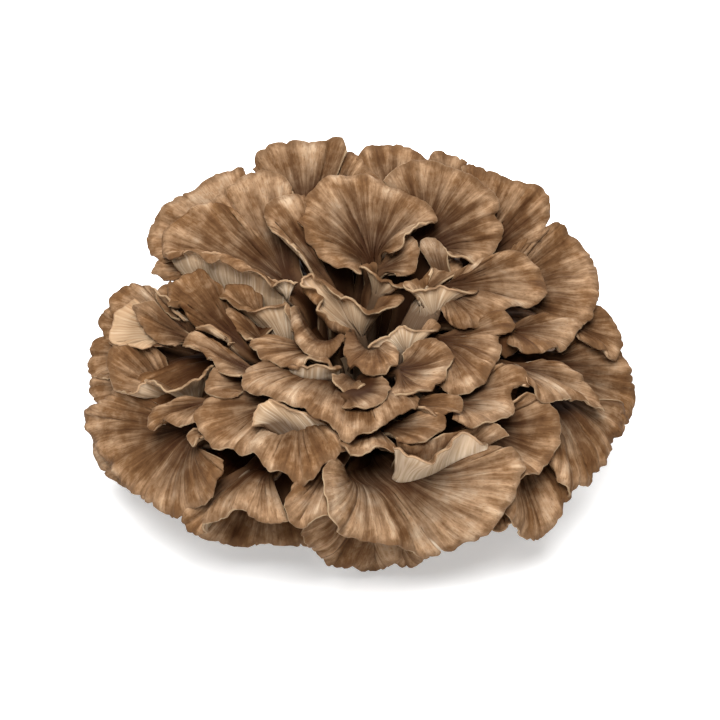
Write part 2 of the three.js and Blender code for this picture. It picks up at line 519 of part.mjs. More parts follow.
/** The stem butt: a flat cut face under a lumpy head, turned about the upright axis. */
function stemButt(swell) {
  const profile = [
    [CUT_RADIUS, 0],
    [CUT_RADIUS + 1, 5],
    [0.9 * HEAD_RADIUS, 0.5 * HEART.z],
    [HEAD_RADIUS, HEART.z],
    [0.87 * HEAD_RADIUS, HEART.z + 0.5 * HEAD_RISE],
    [0.5 * HEAD_RADIUS, HEART.z + 0.87 * HEAD_RISE],
  ];
  const points = [];
  profile.forEach(([radius, z], level) => {
    const rise = Math.min(1, z / HEART.z);
    for (let i = 0; i < BUTT_SIDES; i++) {
      const angle = (2 * Math.PI * i) / BUTT_SIDES;
      const lump = 1 + HEAD_LUMPS * rise * Math.sin(LUMPS_AROUND * angle + level);
      const reach = radius * lump + swell;
      points.push(new THREE.Vector3(reach * Math.cos(angle), HEART.y * rise + reach * Math.sin(angle), z));
    }
  });
  const bottom = points.push(new THREE.Vector3(0, 0, 0)) - 1;
  const top = points.push(new THREE.Vector3(HEART.x, HEART.y, HEART.z + HEAD_RISE + swell)) - 1;
  const lastRing = (profile.length - 1) * BUTT_SIDES;
  const index = [];
  for (let i = 0; i < BUTT_SIDES; i++) {
    const next = (i + 1) % BUTT_SIDES;
    index.push(bottom, next, i, lastRing + i, lastRing + next, top);
    for (let low = 0; low < lastRing; low += BUTT_SIDES) {
      const high = low + BUTT_SIDES;
      index.push(low + i, low + next, high + next, low + i, high + next, high + i);
    }
  }
  return solidFrom(points, index);
}

/** The biggest of the separate pieces that a cut leaves. */
function biggestPiece(solid) {
  return solid.decompose().reduce((best, piece) => (piece.volume() > best.volume() ? piece : best));
}

/** A named mesh from a solid. */
function meshOf(name, solid, colour) {
  const { vertProperties, triVerts } = solid.getMesh();
  const geometry = new THREE.BufferGeometry();
  geometry.setAttribute('position', new THREE.BufferAttribute(vertProperties, 3));
  geometry.setIndex(new THREE.BufferAttribute(triVerts, 1));
  geometry.computeVertexNormals();
  const material = new THREE.MeshStandardMaterial({ color: colour, roughness: ROUGHNESS, metalness: 0 });
  const mesh = new THREE.Mesh(geometry, material);
  mesh.name = name;
  return mesh;
}

const cluster = new THREE.Group();
cluster.add(meshOf('stem_butt', stemButt(0), FLESH_COLOUR));

// Each branch keeps clear of the stem butt and of every branch before it.
const branches = [
  ...Object.entries(BRANCHES).map(([name, blades]) => ({ name, blades })),
  ...SKIRT.map(({ name, fans }) => ({ name, blades: fans.map(skirtBlade) })),
];
let taken = stemButt(GAP);
for (const { name, blades } of branches) {
  const root = rootOf(blades.flatMap((blade) => blade.neck.map(vector)));
  const surfaces = blades.map((blade) => bladeSurface(blade, root));
  const joined = (swell) => wasm.Manifold.union(surfaces.map((rows) => thicken(rows, swell)));
  const piece = biggestPiece(joined(0).subtract(taken));
  cluster.add(meshOf(name, piece, CAP_COLOUR));
  taken = taken.add(joined(GAP));
}

export default cluster;
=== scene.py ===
"""A maitake mushroom: one cut cluster of overlapping fronds on a branching stem butt.

Metres, +Z up, with the origin in the middle of the flat cut face that the cluster rests on.
"""

import bpy
import numpy as np
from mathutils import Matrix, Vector


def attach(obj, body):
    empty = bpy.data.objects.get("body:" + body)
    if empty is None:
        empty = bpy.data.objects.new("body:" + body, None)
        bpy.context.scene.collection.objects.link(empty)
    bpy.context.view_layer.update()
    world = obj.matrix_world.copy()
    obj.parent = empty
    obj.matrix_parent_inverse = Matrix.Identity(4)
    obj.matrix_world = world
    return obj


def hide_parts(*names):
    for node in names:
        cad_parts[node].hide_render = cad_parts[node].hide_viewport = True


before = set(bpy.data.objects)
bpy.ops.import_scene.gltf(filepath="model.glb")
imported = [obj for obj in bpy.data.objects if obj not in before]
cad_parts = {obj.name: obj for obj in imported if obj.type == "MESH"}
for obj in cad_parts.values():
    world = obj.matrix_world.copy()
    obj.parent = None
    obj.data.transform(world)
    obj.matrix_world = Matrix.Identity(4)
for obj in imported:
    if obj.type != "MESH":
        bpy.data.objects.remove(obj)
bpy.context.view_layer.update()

bl_info = {
    "name": "Maitake mushroom",
    "version": (1, 0, 0),
    "blender": (4, 5, 0),
    "location": "View3D > Sidebar > Maitake",
    "description": "Grows a maitake cluster around its packed solids",
    "category": "Object",
}

MM = 0.001
BODY = "root"

# Stem butt, in millimetres, as the solids have it. A stalk starts at the share ROOT_DEPTH of the way
# from its heart to its surface, and the stalks of one branch start STALK_STEP apart.
HEART = np.array([0.0, 4.0, 22.0])
HEAD_RADIUS = 37.0
HEAD_RISE = 27.0
CUT_RADIUS = 29.0
FURROWS = 9
STALK_STEP = 3.0
ROOT_DEPTH = 0.9

# Wavelengths along a rim, in millimetres. The last two are in widths of a lobe.
TEETH = (1.3, 1.9, 2.9)
RUFFLES = (19.0, 12.3, 8.1)
PLEATS = (2.3, 3.4, 5.2)
FOLDS = (13.0, 9.1, 7.3)
ROLLS = (21.0, 13.0)
LOBE_DRIFT = (3.1, 5.3)
NOTCH_DEPTHS = (2.3, 4.1)

# Size of the lumps, and length of a ray that has the whole height of the folds or the whole length
# of the curl, in millimetres. The least angle that a rim bends is in radians.
LUMP_SIZE = 23.0
FOLD_RAY = 22.0
CURL_RAY = 14.0
LEAST_TURN = 0.05

# Fewest and most quads across a frond and along its rays, points that measure a rim, rays of a back
# fan, quads around and up the butt, and the rings that close an end, as shares of its last ring
ACROSS = (26, 130)
OUTWARD = (14, 56)
RIM_POINTS = 60
BACK_RAYS = 13
BUTT_AROUND = 192
BUTT_LEVELS = 96
END_RINGS = (0.02, 0.25, 0.5, 0.75, 0.92)

# Seeds: the butt's, and the steps from ring to ring and from branch to branch for the fronds'
BUTT_SEED = 7
RING_SEEDS = 100
BRANCH_SEEDS = 5

# How far a frond's shade strays from its tone, and the step in space between two fronds' streaks
TONE_SPREAD = 0.35
SEED_STEP = 37.0

# The UV map "fan" is in centimetres, and the depths of the skins' relief are in metres
CM_PER_MM = 0.1
CAP_RELIEF = 0.00045
PORE_RELIEF = 0.0004
FLESH_RELIEF = 0.001

# Camera: lens and sensor in millimetres, raised angle in degrees, distance and aim in metres
CAMERA_LENS = 85.0
CAMERA_SENSOR = 36.0
CAMERA_RAISED = 30.0
CAMERA_DISTANCE = 0.612
CAMERA_AIM = (0.0007, 0.0, 0.05)

# Name, place and size in metres, and share of the lamp setting
LAMPS = (
    ("key_lamp", (-0.1, -0.55, 1.15), 0.9, 1.0),
    ("side_lamp", (-0.7, -0.6, 0.8), 0.8, 0.06),
    ("back_lamp", (0.3, 1.0, 0.7), 0.9, 0.5),
)
LAMP_AIM = (0.0, 0.0, 0.05)

# Half the floor's side, and the radii between which its added light rises, in metres
FLOOR_HALF = 4.0
FLOOR_GLOW = (0.1, 0.4)


def fan(*neck, **shape):
    """One frond: the point or points of its neck, its rim, and the values that it has of its own."""
    return dict(neck=neck, **shape)


# Each branch is a list of fronds. A rim runs clockwise about the neck, seen from the cap side.
# A neck of several points is a broad one. Lengths are in millimetres. Where lobe, notch, ruffle,
# curl, roll or cuff is left out, the frond has the setting of that name:
#   width   of the stalk where it opens
#   belly   how far the middle of each ray stands above a straight one
#   lobe    width of one scallop of the rim, and notch its depth
#   ruffle  height of the waves that grow towards the rim
#   fold    share of the broad folds' height that the frond has
#   curl    length of the stretch along the rim that bends down, and roll the angle it turns
#   cuff    width of the brown margin on the pore side, along the rim
#   splits  tears in the rim: their places from 0 to 1 along it, depths and half-widths
#   begin   where the colours and the painted neck shade start, from 0 (as at a neck) to 1 (as at a rim)
#   tone  shade of both skins, from -3 (dark) to 2 (pale): the frond's own tone, and
#                   painted shade where a frond lies deep in the cluster
CROWN = {
    "crown_left_fan": [
        fan((-19, 36, 91), width=14, belly=-2, lobe=9, notch=1.8, rim=[
            (-39, 49, 104), (-37, 53, 109), (-28, 57, 112), (-16, 55, 112), (-6, 58, 113),
            (-4, 54, 110)]),
        fan((-8, 41, 94), rim=[
            (-11, 59, 106), (-4, 59, 107), (0, 57, 106), (5, 49, 103), (10, 45, 100)]),
    ],
    "crown_right_fan": [
        fan((14, 37, 92), width=10, belly=-2, rim=[
            (-1, 52, 105), (3, 58, 109), (8, 59, 109), (14, 59, 110), (20, 58, 108), (26, 54, 105),
            (30, 50, 102)]),
        fan((32, 47, 94), rim=[
            (25, 54, 104), (29, 59, 107), (34, 59, 106), (38, 57, 105), (41, 56, 103)]),
    ],
    "great_right_fan": [
        fan((27, 28, 83), width=20, notch=0.4, rim=[
            (9, 40, 103), (14, 45, 106), (23, 48, 108), (34, 46, 106), (43, 43, 103), (50, 39, 98),
            (52, 35, 95), (50, 33, 93), (53, 28, 89), (51, 23, 85), (45, 17, 83), (37, 15, 84),
            (32, 19, 85)]),
        fan((31, 16, 76), rim=[
            (22, 20, 85), (23, 22, 88), (27, 23, 88), (30, 21, 86), (32, 18, 84)]),
    ],
    "shoulder_right_fan": [fan((45, 29, 78), width=12, rim=[
        (38, 50, 104), (42, 51, 105), (50, 48, 103), (60, 46, 100), (66, 46, 99), (70, 45, 96),
        (71, 41, 92), (70, 36, 88), (67, 31, 83)])],
    "shoulder_left_fan": [fan((-38, 31, 79), width=12, rim=[
        (-72, 26, 76), (-77, 32, 78), (-79, 39, 80), (-77, 43, 84), (-74, 45, 89), (-67, 47, 94),
        (-62, 48, 96), (-55, 50, 100), (-48, 53, 102), (-43, 53, 103), (-41, 52, 100)])],
    "crown_left_inner_fan": [fan((-25, 17, 75), width=10, belly=-2, rim=[
        (-55, 43, 93), (-49, 44, 98), (-42, 47, 102), (-35, 48, 104), (-29, 45, 103), (-25, 40, 100),
        (-22, 37, 96)])],
    "great_left_funnel": [
        fan((-22, 8, 71), width=12, roll=140, curl=5.5, notch=0.3, rim=[
            (-21, 6, 80), (-29, 7, 80), (-34, 9, 81), (-41, 11, 84), (-49, 15, 86), (-54, 18, 86),
            (-59, 21, 85), (-65, 23, 84), (-71, 26, 82), (-74, 31, 82), (-74, 36, 84), (-70, 39, 89),
            (-64, 41, 93), (-56, 42, 95), (-48, 40, 94), (-41, 37, 90)]),
        fan((-24, 7, 72), (-30, 9, 70), (-36, 11, 72), (-43, 14, 75), (-50, 17, 77), (-56, 20, 79),
            (-61, 22, 80), (-68, 25, 79), roll=10, curl=1, begin=0.7, cuff=1.8, rim=[
            (-21, 6, 79), (-29, 7, 79), (-34, 9, 80), (-41, 11, 83), (-49, 15, 85), (-54, 18, 85),
            (-59, 21, 84), (-65, 23, 83), (-70, 25, 81)]),
    ],
    "great_top_fan": [fan((5, 19, 79), width=8, roll=50, curl=8, notch=0.3, rim=[
        (2, 9, 84), (-6, 10, 85), (-13, 13, 87), (-16, 19, 90), (-20, 22, 92), (-22, 26, 95),
        (-21, 31, 98), (-17, 36, 102), (-11, 41, 105), (-5, 42, 106), (4, 41, 105), (12, 38, 103),
        (21, 34, 100), (28, 29, 96), (21, 23, 95), (16, 18, 94), (14, 14, 91), (10, 12, 89)])],
    "top_curled_leaf": [fan((-13, 12, 77), width=6, rim=[
        (-21, 15, 86), (-24, 18, 89), (-29, 21, 91), (-32, 24, 93), (-34, 28, 96), (-32, 32, 99),
        (-27, 34, 100), (-19, 37, 99)])],
}
RIGHT = {
    "flank_right_fan": [fan((51, 17, 69), width=12, rim=[
        (57, 29, 82), (65, 33, 85), (74, 38, 87), (80, 38, 82), (86, 33, 76), (88, 26, 73),
        (88, 17, 71), (86, 9, 68), (84, 5, 64), (77, 0, 62)])],
    "right_flap": [fan((74, 8, 61), width=6, rim=[
        (82, 13, 67), (88, 11, 66), (94, 8, 60), (96, 4, 55), (93, -3, 53), (88, -3, 57), (83, -3, 59),
        (78, -1, 61)])],
    "right_outer_fan": [fan((68, -10, 52), width=14, lobe=5, notch=1.2, rim=[
        (75, 5, 60), (85, 5, 57), (95, 3, 52), (99, 1, 47), (100, -3, 42), (101, -6, 36), (98, -15, 34),
        (94, -21, 32), (85, -29, 35)])],
    "right_folded_leaf": [fan((53, -19, 58), width=5, belly=1, rim=[
        (65, -16, 60), (73, -17, 58), (81, -22, 53), (86, -27, 45), (81, -29, 50), (76, -30, 53),
        (69, -37, 55), (63, -38, 57), (59, -34, 60), (58, -28, 61)])],
    "right_inner_leaf": [fan((53, -2, 62), belly=1, notch=0.5, rim=[
        (61, 4, 66), (68, 5, 67), (80, 3, 64), (78, -3, 63), (74, -9, 60), (70, -12, 61), (65, -16, 63),
        (58, -18, 64), (52, -13, 65)])],
    "right_oval_cap": [fan((29, 11, 72), width=10, belly=2, notch=0.25, rim=[
        (35, 14, 79), (45, 18, 82), (54, 21, 84), (62, 21, 81), (67, 16, 76), (68, 8, 73), (63, 3, 71),
        (55, 1, 72), (49, -4, 69), (39, -11, 69), (33, -9, 69), (29, -1, 71)])],
    "right_lobed_cap": [fan((28, -12, 64), width=8, belly=1, notch=0.4, rim=[
        (41, -2, 68), (51, -1, 70), (56, -4, 68), (54, -9, 67), (50, -11, 66), (50, -19, 66),
        (48, -27, 65), (45, -34, 65), (40, -42, 63), (34, -45, 63), (28, -41, 63), (24, -34, 62)])],
    "right_shell_cup": [fan((13, -32, 64), width=6, belly=-2, notch=0.3, rim=[
        (16, -23, 66), (21, -18, 68), (27, -16, 68), (32, -23, 68), (32, -31, 67), (28, -41, 67),
        (22, -48, 67), (16, -52, 67), (10, -48, 67)])],
    "right_torn_fan": [fan((31, -42, 58), width=8, rim=[
        (43, -28, 63), (53, -25, 63), (59, -29, 61), (59, -32, 60), (56, -34, 61), (52, -39, 60),
        (53, -45, 59), (51, -50, 58), (43, -56, 59), (37, -59, 60), (31, -57, 61)])],
    "right_hooded_fan": [fan((45, -43, 48), width=12, belly=-2, rim=[
        (52, -38, 57), (60, -37, 57), (65, -37, 55), (68, -41, 53), (69, -45, 48), (67, -50, 45),
        (63, -57, 43), (57, -63, 43), (51, -65, 42)])],
    "right_small_leaves": [
        fan((11, -56, 56), width=6, rim=[
            (20, -54, 62), (27, -57, 63), (29, -59, 61), (26, -64, 60), (20, -68, 60), (13, -69, 60)]),
        fan((17, -48, 61), width=4, roll=15, curl=2, rim=[
            (22, -46, 63), (30, -47, 64), (35, -50, 64), (35, -53, 62), (32, -56, 62), (27, -57, 63),
            (22, -56, 65)]),
    ],
    "right_lower_fan": [fan((66, -23, 46), width=16, belly=3, lobe=5, notch=1.3, rim=[
        (96, -11, 38), (95, -20, 33), (92, -25, 31), (87, -34, 30), (87, -36, 28), (82, -43, 29),
        (80, -46, 26), (76, -50, 29), (73, -56, 28), (68, -56, 35), (64, -49, 38), (60, -42, 41)])],
}
LEFT = {
    "left_upper_fan": [
        fan((-60, 1, 62), width=6, rim=[
            (-87, 8, 58), (-91, 13, 65), (-89, 17, 69), (-83, 18, 72), (-76, 15, 72), (-70, 6, 71),
            (-62, 1, 65)]),
        # Painted shade: the dark tone dims this blade's lit pore side
        fan((-61, -6, 62), width=4, belly=-3, roll=70, curl=2.5, fold=0.6, tone=-3, rim=[
            (-80, 8, 71), (-85, 8, 67), (-88, 5, 62), (-88, -1, 58), (-83, -4, 58), (-73, -7, 59)]),
        fan((-60, -9, 64), width=4, roll=40, curl=2, fold=0.3, rim=[
            (-64, -11, 62), (-69, -10, 62), (-74, -7, 64), (-78, -2, 67), (-80, 1, 72), (-72, -1, 75)]),
    ],
    "left_cup": [fan((-58, -20, 40), width=12, roll=50, curl=1.6, ruffle=0.2, rim=[
        (-49, -26, 63), (-54, -34, 63), (-65, -34, 59), (-73, -26, 58), (-78, -27, 54), (-85, -20, 50),
        (-89, -9, 52), (-89, -4, 56), (-85, -2, 59), (-76, -3, 60), (-68, -8, 56)])],
    "left_edge_leaves": [
        fan((-75, 7, 57), rim=[
            (-88, 3, 54), (-92, 7, 55), (-95, 13, 59), (-93, 14, 63), (-88, 14, 65)]),
        fan((-75, 0, 52), rim=[
            (-90, -8, 47), (-96, -2, 44), (-99, 2, 45), (-99, 6, 47), (-97, 8, 52), (-93, 10, 56)]),
        fan((-74, -14, 48), rim=[
            (-93, -12, 39), (-96, -8, 39), (-98, -3, 40), (-97, -2, 43), (-93, -4, 46)]),
    ],
    "left_lower_fan": [
        fan((-52, -40, 45), width=16, belly=3, fold=0.5, lobe=5, notch=1.4, rim=[
            (-44, -65, 50), (-45, -71, 46), (-49, -74, 40), (-55, -71, 34), (-61, -68, 28),
            (-68, -61, 27), (-75, -54, 27), (-82, -44, 26), (-91, -30, 29), (-97, -20, 31),
            (-99, -13, 35), (-96, -14, 39), (-89, -15, 45), (-80, -18, 49)]),
        fan((-62, -33, 37), lobe=7, notch=1.6, rim=[
            (-76, -41, 23), (-82, -37, 20), (-86, -33, 19), (-90, -28, 19), (-94, -22, 20),
            (-96, -16, 23), (-96, -12, 27)]),
    ],
    "left_inner_fan": [fan((-41, -17, 65), width=8, roll=100, curl=4, tone=-1, rim=[
        (-43, -20, 68), (-47, -12, 68), (-53, -8, 68), (-58, -5, 67), (-62, 0, 69), (-65, 4, 72),
        (-69, 9, 73), (-67, 15, 76), (-62, 18, 78), (-58, 19, 79), (-53, 16, 76), (-48, 12, 69)])],
    "left_back_leaves": [
        fan((-55, 8, 61), rim=[
            (-63, 3, 66), (-69, 6, 69), (-73, 10, 71), (-72, 15, 72), (-68, 19, 73)]),
        fan((-51, 30, 72), rim=[
            (-67, 21, 72), (-74, 22, 73), (-76, 24, 73), (-74, 27, 76), (-71, 32, 77)]),
    ],
    "left_small_fans": [
        fan((-49, -41, 56), belly=1, rim=[
            (-53, -51, 56), (-59, -50, 54), (-63, -47, 53), (-67, -44, 52), (-71, -44, 48),
            (-72, -39, 51), (-68, -37, 54), (-60, -37, 55)]),
        fan((-48, -51, 52), width=4, rim=[
            (-52, -56, 53), (-54, -56, 53), (-55, -58, 51), (-57, -54, 52), (-55, -52, 54)]),
    ],
    "left_pale_leaf": [
        fan((-36, -33, 63), width=5, rim=[
            (-40, -38, 65), (-45, -34, 65), (-50, -27, 65), (-55, -19, 65), (-61, -14, 65),
            (-61, -10, 65), (-58, -7, 66), (-51, -13, 65), (-44, -19, 64)]),
        fan((-33, -14, 64), width=4, rim=[
            (-37, -18, 68), (-42, -10, 68), (-47, -1, 71), (-44, 2, 70), (-39, 2, 68)]),
        fan((-36, -33, 59), width=6, rim=[
            (-40, -45, 62), (-48, -44, 61), (-52, -38, 61), (-51, -33, 63), (-49, -25, 63)]),
    ],
}
INNER = {
    "heart_cup": [
        fan((9, 14, 79), width=5, roll=50, curl=3, rim=[
            (11, 18, 86), (15, 19, 89), (19, 21, 90), (22, 18, 88), (22, 14, 85), (20, 9, 82),
            (18, 8, 80), (14, 9, 80)]),
        fan((7, 6, 73), width=5, roll=140, curl=4, tone=-1, cuff=2.2, rim=[
            (19, 7, 80), (15, 4, 80), (10, 6, 82), (5, 8, 83), (2, 11, 85), (8, 17, 83)]),
    ],
    "heart_funnel": [fan((0, -6, 62), width=8, roll=130, curl=4.2, fold=0.1, tone=-1.5, cuff=2.4, rim=[
        (9, 6, 75), (15, 4, 77), (14, 0, 76), (8, -3, 75), (1, -2, 76), (-5, 1, 78), (-11, 5, 81),
        (-17, 9, 82), (-21, 6, 80), (-21, 3, 77), (-16, -1, 75), (-16, -5, 72), (-11, -11, 70),
        (-4, -16, 70)])],
    "heart_s_curl": [
        fan((-21, -8, 60), (-27, -7, 60), (-33, -5, 62), roll=120, curl=3.4, fold=0.2, tone=-1.5,
            cuff=1.6, rim=[
            (-21, -11, 69), (-23, -4, 74), (-26, -1, 76), (-34, -3, 74), (-41, -1, 74), (-48, 4, 75),
            (-49, 7, 75), (-47, 11, 77), (-41, 12, 76), (-34, 11, 73)]),
        fan((-5, -18, 70), (-8, -20, 68), (-12, -20, 67), (-16, -17, 67), (-20, -11, 70), (-23, -4, 74),
            roll=60, curl=4, begin=0.4, belly=1, rim=[
            (-4, -20, 71), (-7, -27, 69), (-14, -30, 69), (-19, -27, 70), (-22, -20, 72),
            (-24, -8, 75)]),
    ],
    "heart_left_leaf": [
        fan((-13, -20, 65), width=6, rim=[
            (-7, -38, 68), (-11, -33, 68), (-16, -31, 69), (-21, -35, 69), (-26, -35, 68),
            (-32, -30, 68), (-35, -25, 68), (-38, -20, 68), (-36, -15, 68), (-31, -12, 67),
            (-24, -14, 65)]),
        fan((-6, -36, 68), (-12, -38, 66), (-17, -38, 66), (-23, -35, 68), roll=120, curl=2.5,
            begin=0.4, cuff=1.2, rim=[
            (-5, -38, 69), (-11, -40, 71), (-17, -39, 71), (-24, -36, 69)]),
    ],
    "heart_round_curl": [fan((10, -19, 68), (8, -24, 67), (4, -27, 67), (0, -22, 67), (-3, -12, 69),
        begin=0.45, rim=[
        (12, -21, 69), (14, -30, 69), (9, -42, 70), (1, -41, 70), (-4, -32, 69), (-5, -20, 69),
        (-4, -12, 70)])],
    "heart_white_cup": [fan((17, -17, 62), width=8, roll=90, curl=2.5, fold=0.2, rim=[
        (22, -3, 68), (26, -4, 70), (29, -6, 69), (27, -12, 70), (20, -13, 70), (15, -11, 71),
        (10, -16, 70), (5, -22, 70), (2, -24, 69)])],
    "heart_crescent": [
        fan((6, -39, 67), (4, -47, 65), (-1, -51, 65), (-4, -52, 64), rim=[
            (8, -41, 68), (11, -47, 67), (8, -56, 67), (1, -59, 66), (-5, -56, 66)]),
        fan((1, -41, 65), (-2, -43, 64), (-5, -42, 65), (-7, -40, 67), curl=1.5, begin=0.5, rim=[
            (3, -44, 66), (-2, -47, 64), (-7, -46, 66), (-9, -42, 69)]),
    ],
    "heart_flat_cap": [fan((29, -1, 70), (25, -4, 69), (20, -2, 69), (19, 2, 70), belly=1, roll=60,
        curl=3, fold=0.2, cuff=1.2, rim=[
        (43, 7, 77), (36, 3, 78), (29, 3, 79), (21, 1, 79), (16, 4, 79), (18, 8, 79), (24, 12, 78),
        (27, 19, 79), (32, 24, 80), (37, 23, 80), (39, 17, 78)])],
}
FRONT = {
    "front_wavy_frond": [fan((16, -44, 61), (1, -40, 59), (-13, -32, 61), (-22, -28, 63), belly=2, rim=[
        (21, -50, 64), (19, -57, 64), (14, -60, 65), (8, -64, 64), (6, -67, 62), (1, -68, 62),
        (-2, -72, 62), (-5, -71, 62), (-8, -66, 63), (-13, -62, 64), (-18, -57, 66), (-22, -56, 65),
        (-27, -52, 65), (-32, -48, 65), (-36, -48, 65), (-39, -43, 64), (-39, -37, 66),
        (-36, -30, 65)])],
    "front_left_fan": [
        fan((-21, -42, 56), width=16, belly=2, rim=[
            (-2, -68, 58), (-7, -74, 57), (-11, -77, 56), (-14, -81, 53), (-19, -81, 51),
            (-25, -76, 53), (-29, -75, 52), (-34, -68, 55), (-39, -67, 53), (-42, -63, 53),
            (-47, -62, 52), (-51, -57, 53), (-55, -50, 56), (-53, -45, 59), (-47, -39, 60),
            (-38, -40, 59)]),
        fan((-4, -62, 55), (-16, -58, 56), (-24, -56, 58), (-31, -59, 59), rim=[
            (-12, -58, 61), (-19, -55, 63), (-26, -51, 64), (-31, -50, 64), (-34, -55, 63),
            (-35, -61, 60)]),
    ],
    "front_white_cup": [
        fan((43, -58, 51), (31, -62, 48), (24, -66, 47), (15, -67, 44), (12, -66, 46), begin=0.7,
            roll=20, curl=1, cuff=0.8, tone=2, rim=[
            (42, -60, 53), (37, -62, 57), (33, -64, 59), (27, -71, 57), (24, -75, 56), (16, -75, 59),
            (12, -71, 60)]),
        fan((13, -65, 52), (22, -65, 49), (30, -59, 50), (38, -56, 51), (44, -56, 50), begin=0.4,
            fold=0.4, rim=[
            (12, -69, 60), (17, -68, 58), (24, -65, 58), (32, -60, 58), (40, -56, 57), (45, -53, 57),
            (48, -55, 56), (50, -58, 55)]),
    ],
    "front_small_leaf": [
        fan((3, -53, 55), width=8, rim=[
            (13, -71, 59), (9, -72, 59), (5, -73, 60), (0, -76, 59), (-3, -74, 59), (-5, -71, 60),
            (-3, -66, 59)]),
        fan((14, -30, 34), width=14, tone=-3, rim=[
            (38, -40, 48), (32, -48, 48), (24, -53, 47), (14, -54, 47), (4, -51, 47), (-6, -46, 47)]),
    ],
    "front_arched_fan": [fan((-32, -61, 42), width=14, belly=3, rim=[
        (-22, -86, 40), (-26, -86, 39), (-31, -84, 38), (-35, -82, 39), (-38, -80, 40), (-44, -79, 36),
        (-50, -76, 32), (-52, -73, 25), (-56, -71, 25), (-59, -70, 29), (-58, -66, 32)])],
    "front_left_skirt": [fan((-32, -58, 33), width=20, lobe=4.5, notch=1.3, rim=[
        (-15, -71, 19), (-23, -71, 19), (-31, -69, 18), (-38, -66, 15), (-45, -65, 15), (-52, -64, 16),
        (-53, -66, 20)])],
    "front_narrow_fan": [fan((-8, -63, 48), width=8, belly=2, rim=[
        (-9, -88, 45), (-13, -89, 43), (-17, -90, 42), (-20, -89, 40), (-23, -88, 44), (-23, -86, 48),
        (-21, -80, 50)])],
    "front_low_fan": [fan((4, -61, 38), width=20, belly=3, lobe=5, notch=1.4, rim=[
        (24, -74, 16), (17, -69, 8), (12, -72, 12), (6, -66, 4), (-3, -70, 9), (-10, -70, 10),
        (-13, -78, 20), (-17, -85, 30), (-18, -87, 38), (-17, -84, 40)])],
    "great_front_fan": [fan((30, -61, 46), (21, -66, 43), (12, -68, 41), (5, -69, 41), (-3, -68, 43),
        (-7, -67, 48), belly=1, begin=0.3, tone=1, notch=1.1, splits=[(0.445, 2.5, 2.0)], rim=[
        (37, -56, 51), (47, -57, 50), (53, -57, 49), (56, -61, 46), (54, -66, 43), (51, -73, 39),
        (45, -78, 32), (40, -79, 27), (34, -78, 24), (30, -78, 21), (27, -78, 20), (23, -79, 20),
        (20, -80, 22), (16, -83, 27), (10, -86, 31), (2, -87, 33), (-4, -89, 37), (-8, -90, 44),
        (-10, -85, 51), (-10, -80, 54), (-10, -75, 56), (-7, -71, 55)])],
    "front_right_fan": [
        fan((50, -39, 41), width=16, belly=3, lobe=4.5, notch=1.3, rim=[
            (73, -53, 27), (70, -60, 26), (68, -62, 24), (64, -65, 19), (61, -66, 18), (57, -69, 20),
            (53, -73, 28), (50, -74, 33), (47, -71, 38)]),
        fan((45, -43, 31), rim=[
            (54, -70, 28), (49, -72, 29), (47, -73, 27), (43, -75, 29)]),
    ],
}

# Fans that close the back, the underside and the inside: azimuth of the fan, radius and height of its
# neck, reach of its rays, half its spread, fall of its ends, turn of the two waves along them, and
# tone with painted shade: the inner fans have -3, which darkens them all over as painted shade.
# Azimuth and half spread are in degrees, the turn is in radians, and lengths in millimetres.
BACK = {
    "back_top_fans": [(70, 34, 84, 42, 44, -4, 0.0, 0.0), (112, 34, 86, 40, 44, -3, 1.0, 0.0)],
    "back_upper_fans": [
        (50, 42, 61, 48, 56, 4, 2.0, 0.0),
        (90, 42, 66, 48, 58, 0, 0.5, 0.0),
        (130, 42, 61, 47, 56, 4, 1.5, 0.0),
    ],
    "back_right_fan": [(30, 45, 42, 50, 60, 6, 0.0, 0.0)],
    "back_middle_fans": [(70, 45, 40, 50, 60, 8, 1.0, 0.0), (108, 45, 42, 50, 60, 8, 2.0, 0.0)],
    "back_left_fans": [(148, 45, 40, 48, 60, 6, 3.0, 0.0), (152, 42, 24, 43, 60, 12, 1.0, 0.0)],
    "skirt_right_fan": [(10, 42, 26, 44, 60, 10, 1.0, 0.0)],
    "skirt_back_fans": [(58, 42, 22, 42, 60, 12, 0.0, 0.0), (104, 42, 22, 42, 60, 12, 2.0, 0.0)],
    "inner_left_fans": [(184, 30, 52, 51, 58, 6, 0.0, -3.0), (216, 30, 36, 44, 55, 8, 1.0, -3.0)],
    "inner_right_fan": [(358, 32, 48, 44, 55, 4, 1.0, -3.0)],
    "inner_low_right_fan": [(325, 32, 36, 42, 55, 8, 2.0, -3.0)],
    "inner_back_right_fan": [(20, 26, 60, 46, 60, 2, 0.0, -3.0)],
    "inner_back_left_fans": [(165, 22, 61, 35, 76, 0, 1.0, -3.0), (122, 20, 66, 44, 62, 2, 1.0, -3.0)],
}


def fan_from(azimuth, radius, height, reach, half, drop, turn, tone):
    """Neck and rim of one back fan: its rays spread evenly about the azimuth. Towards the sides they
    are up to 22 percent shorter and fall up to 35 percent less, and their ends rise and fall by 3 mm
    in two waves from side to side."""
    side = np.linspace(1, -1, BACK_RAYS)
    heading = np.radians(azimuth)
    angle = heading + np.radians(half) * side
    ray = reach * (1 - 0.22 * side**2)
    fall = -drop * (1 - 0.35 * side**2) + 3 * np.sin(2 * np.pi * side + turn)
    neck = np.array([radius * np.cos(heading), radius * np.sin(heading), height])
    steps = np.stack([ray * np.cos(angle), ray * np.sin(angle), fall], axis=1)
    # Painted shade: a dark tone darkens the fan, and a third of it as begin spreads its painted neck
    # shade further out
    shape = dict(width=14, belly=4, lobe=6, notch=1.3, tone=tone, begin=tone / 3)
    return fan(neck, rim=neck + steps, **shape)


# -------- surfaces worked out with numpy


def unit(vectors):
    """Vectors scaled to length one, along the last axis."""
    return vectors / np.maximum(np.linalg.norm(vectors, axis=-1, keepdims=True), 1e-9)


def smooth(low, high, x):
    """0 below low, 1 above high, and an S-shaped cubic between them."""
    s = np.clip((x - low) / (high - low), 0, 1)
    return s * s * (3 - 2 * s)


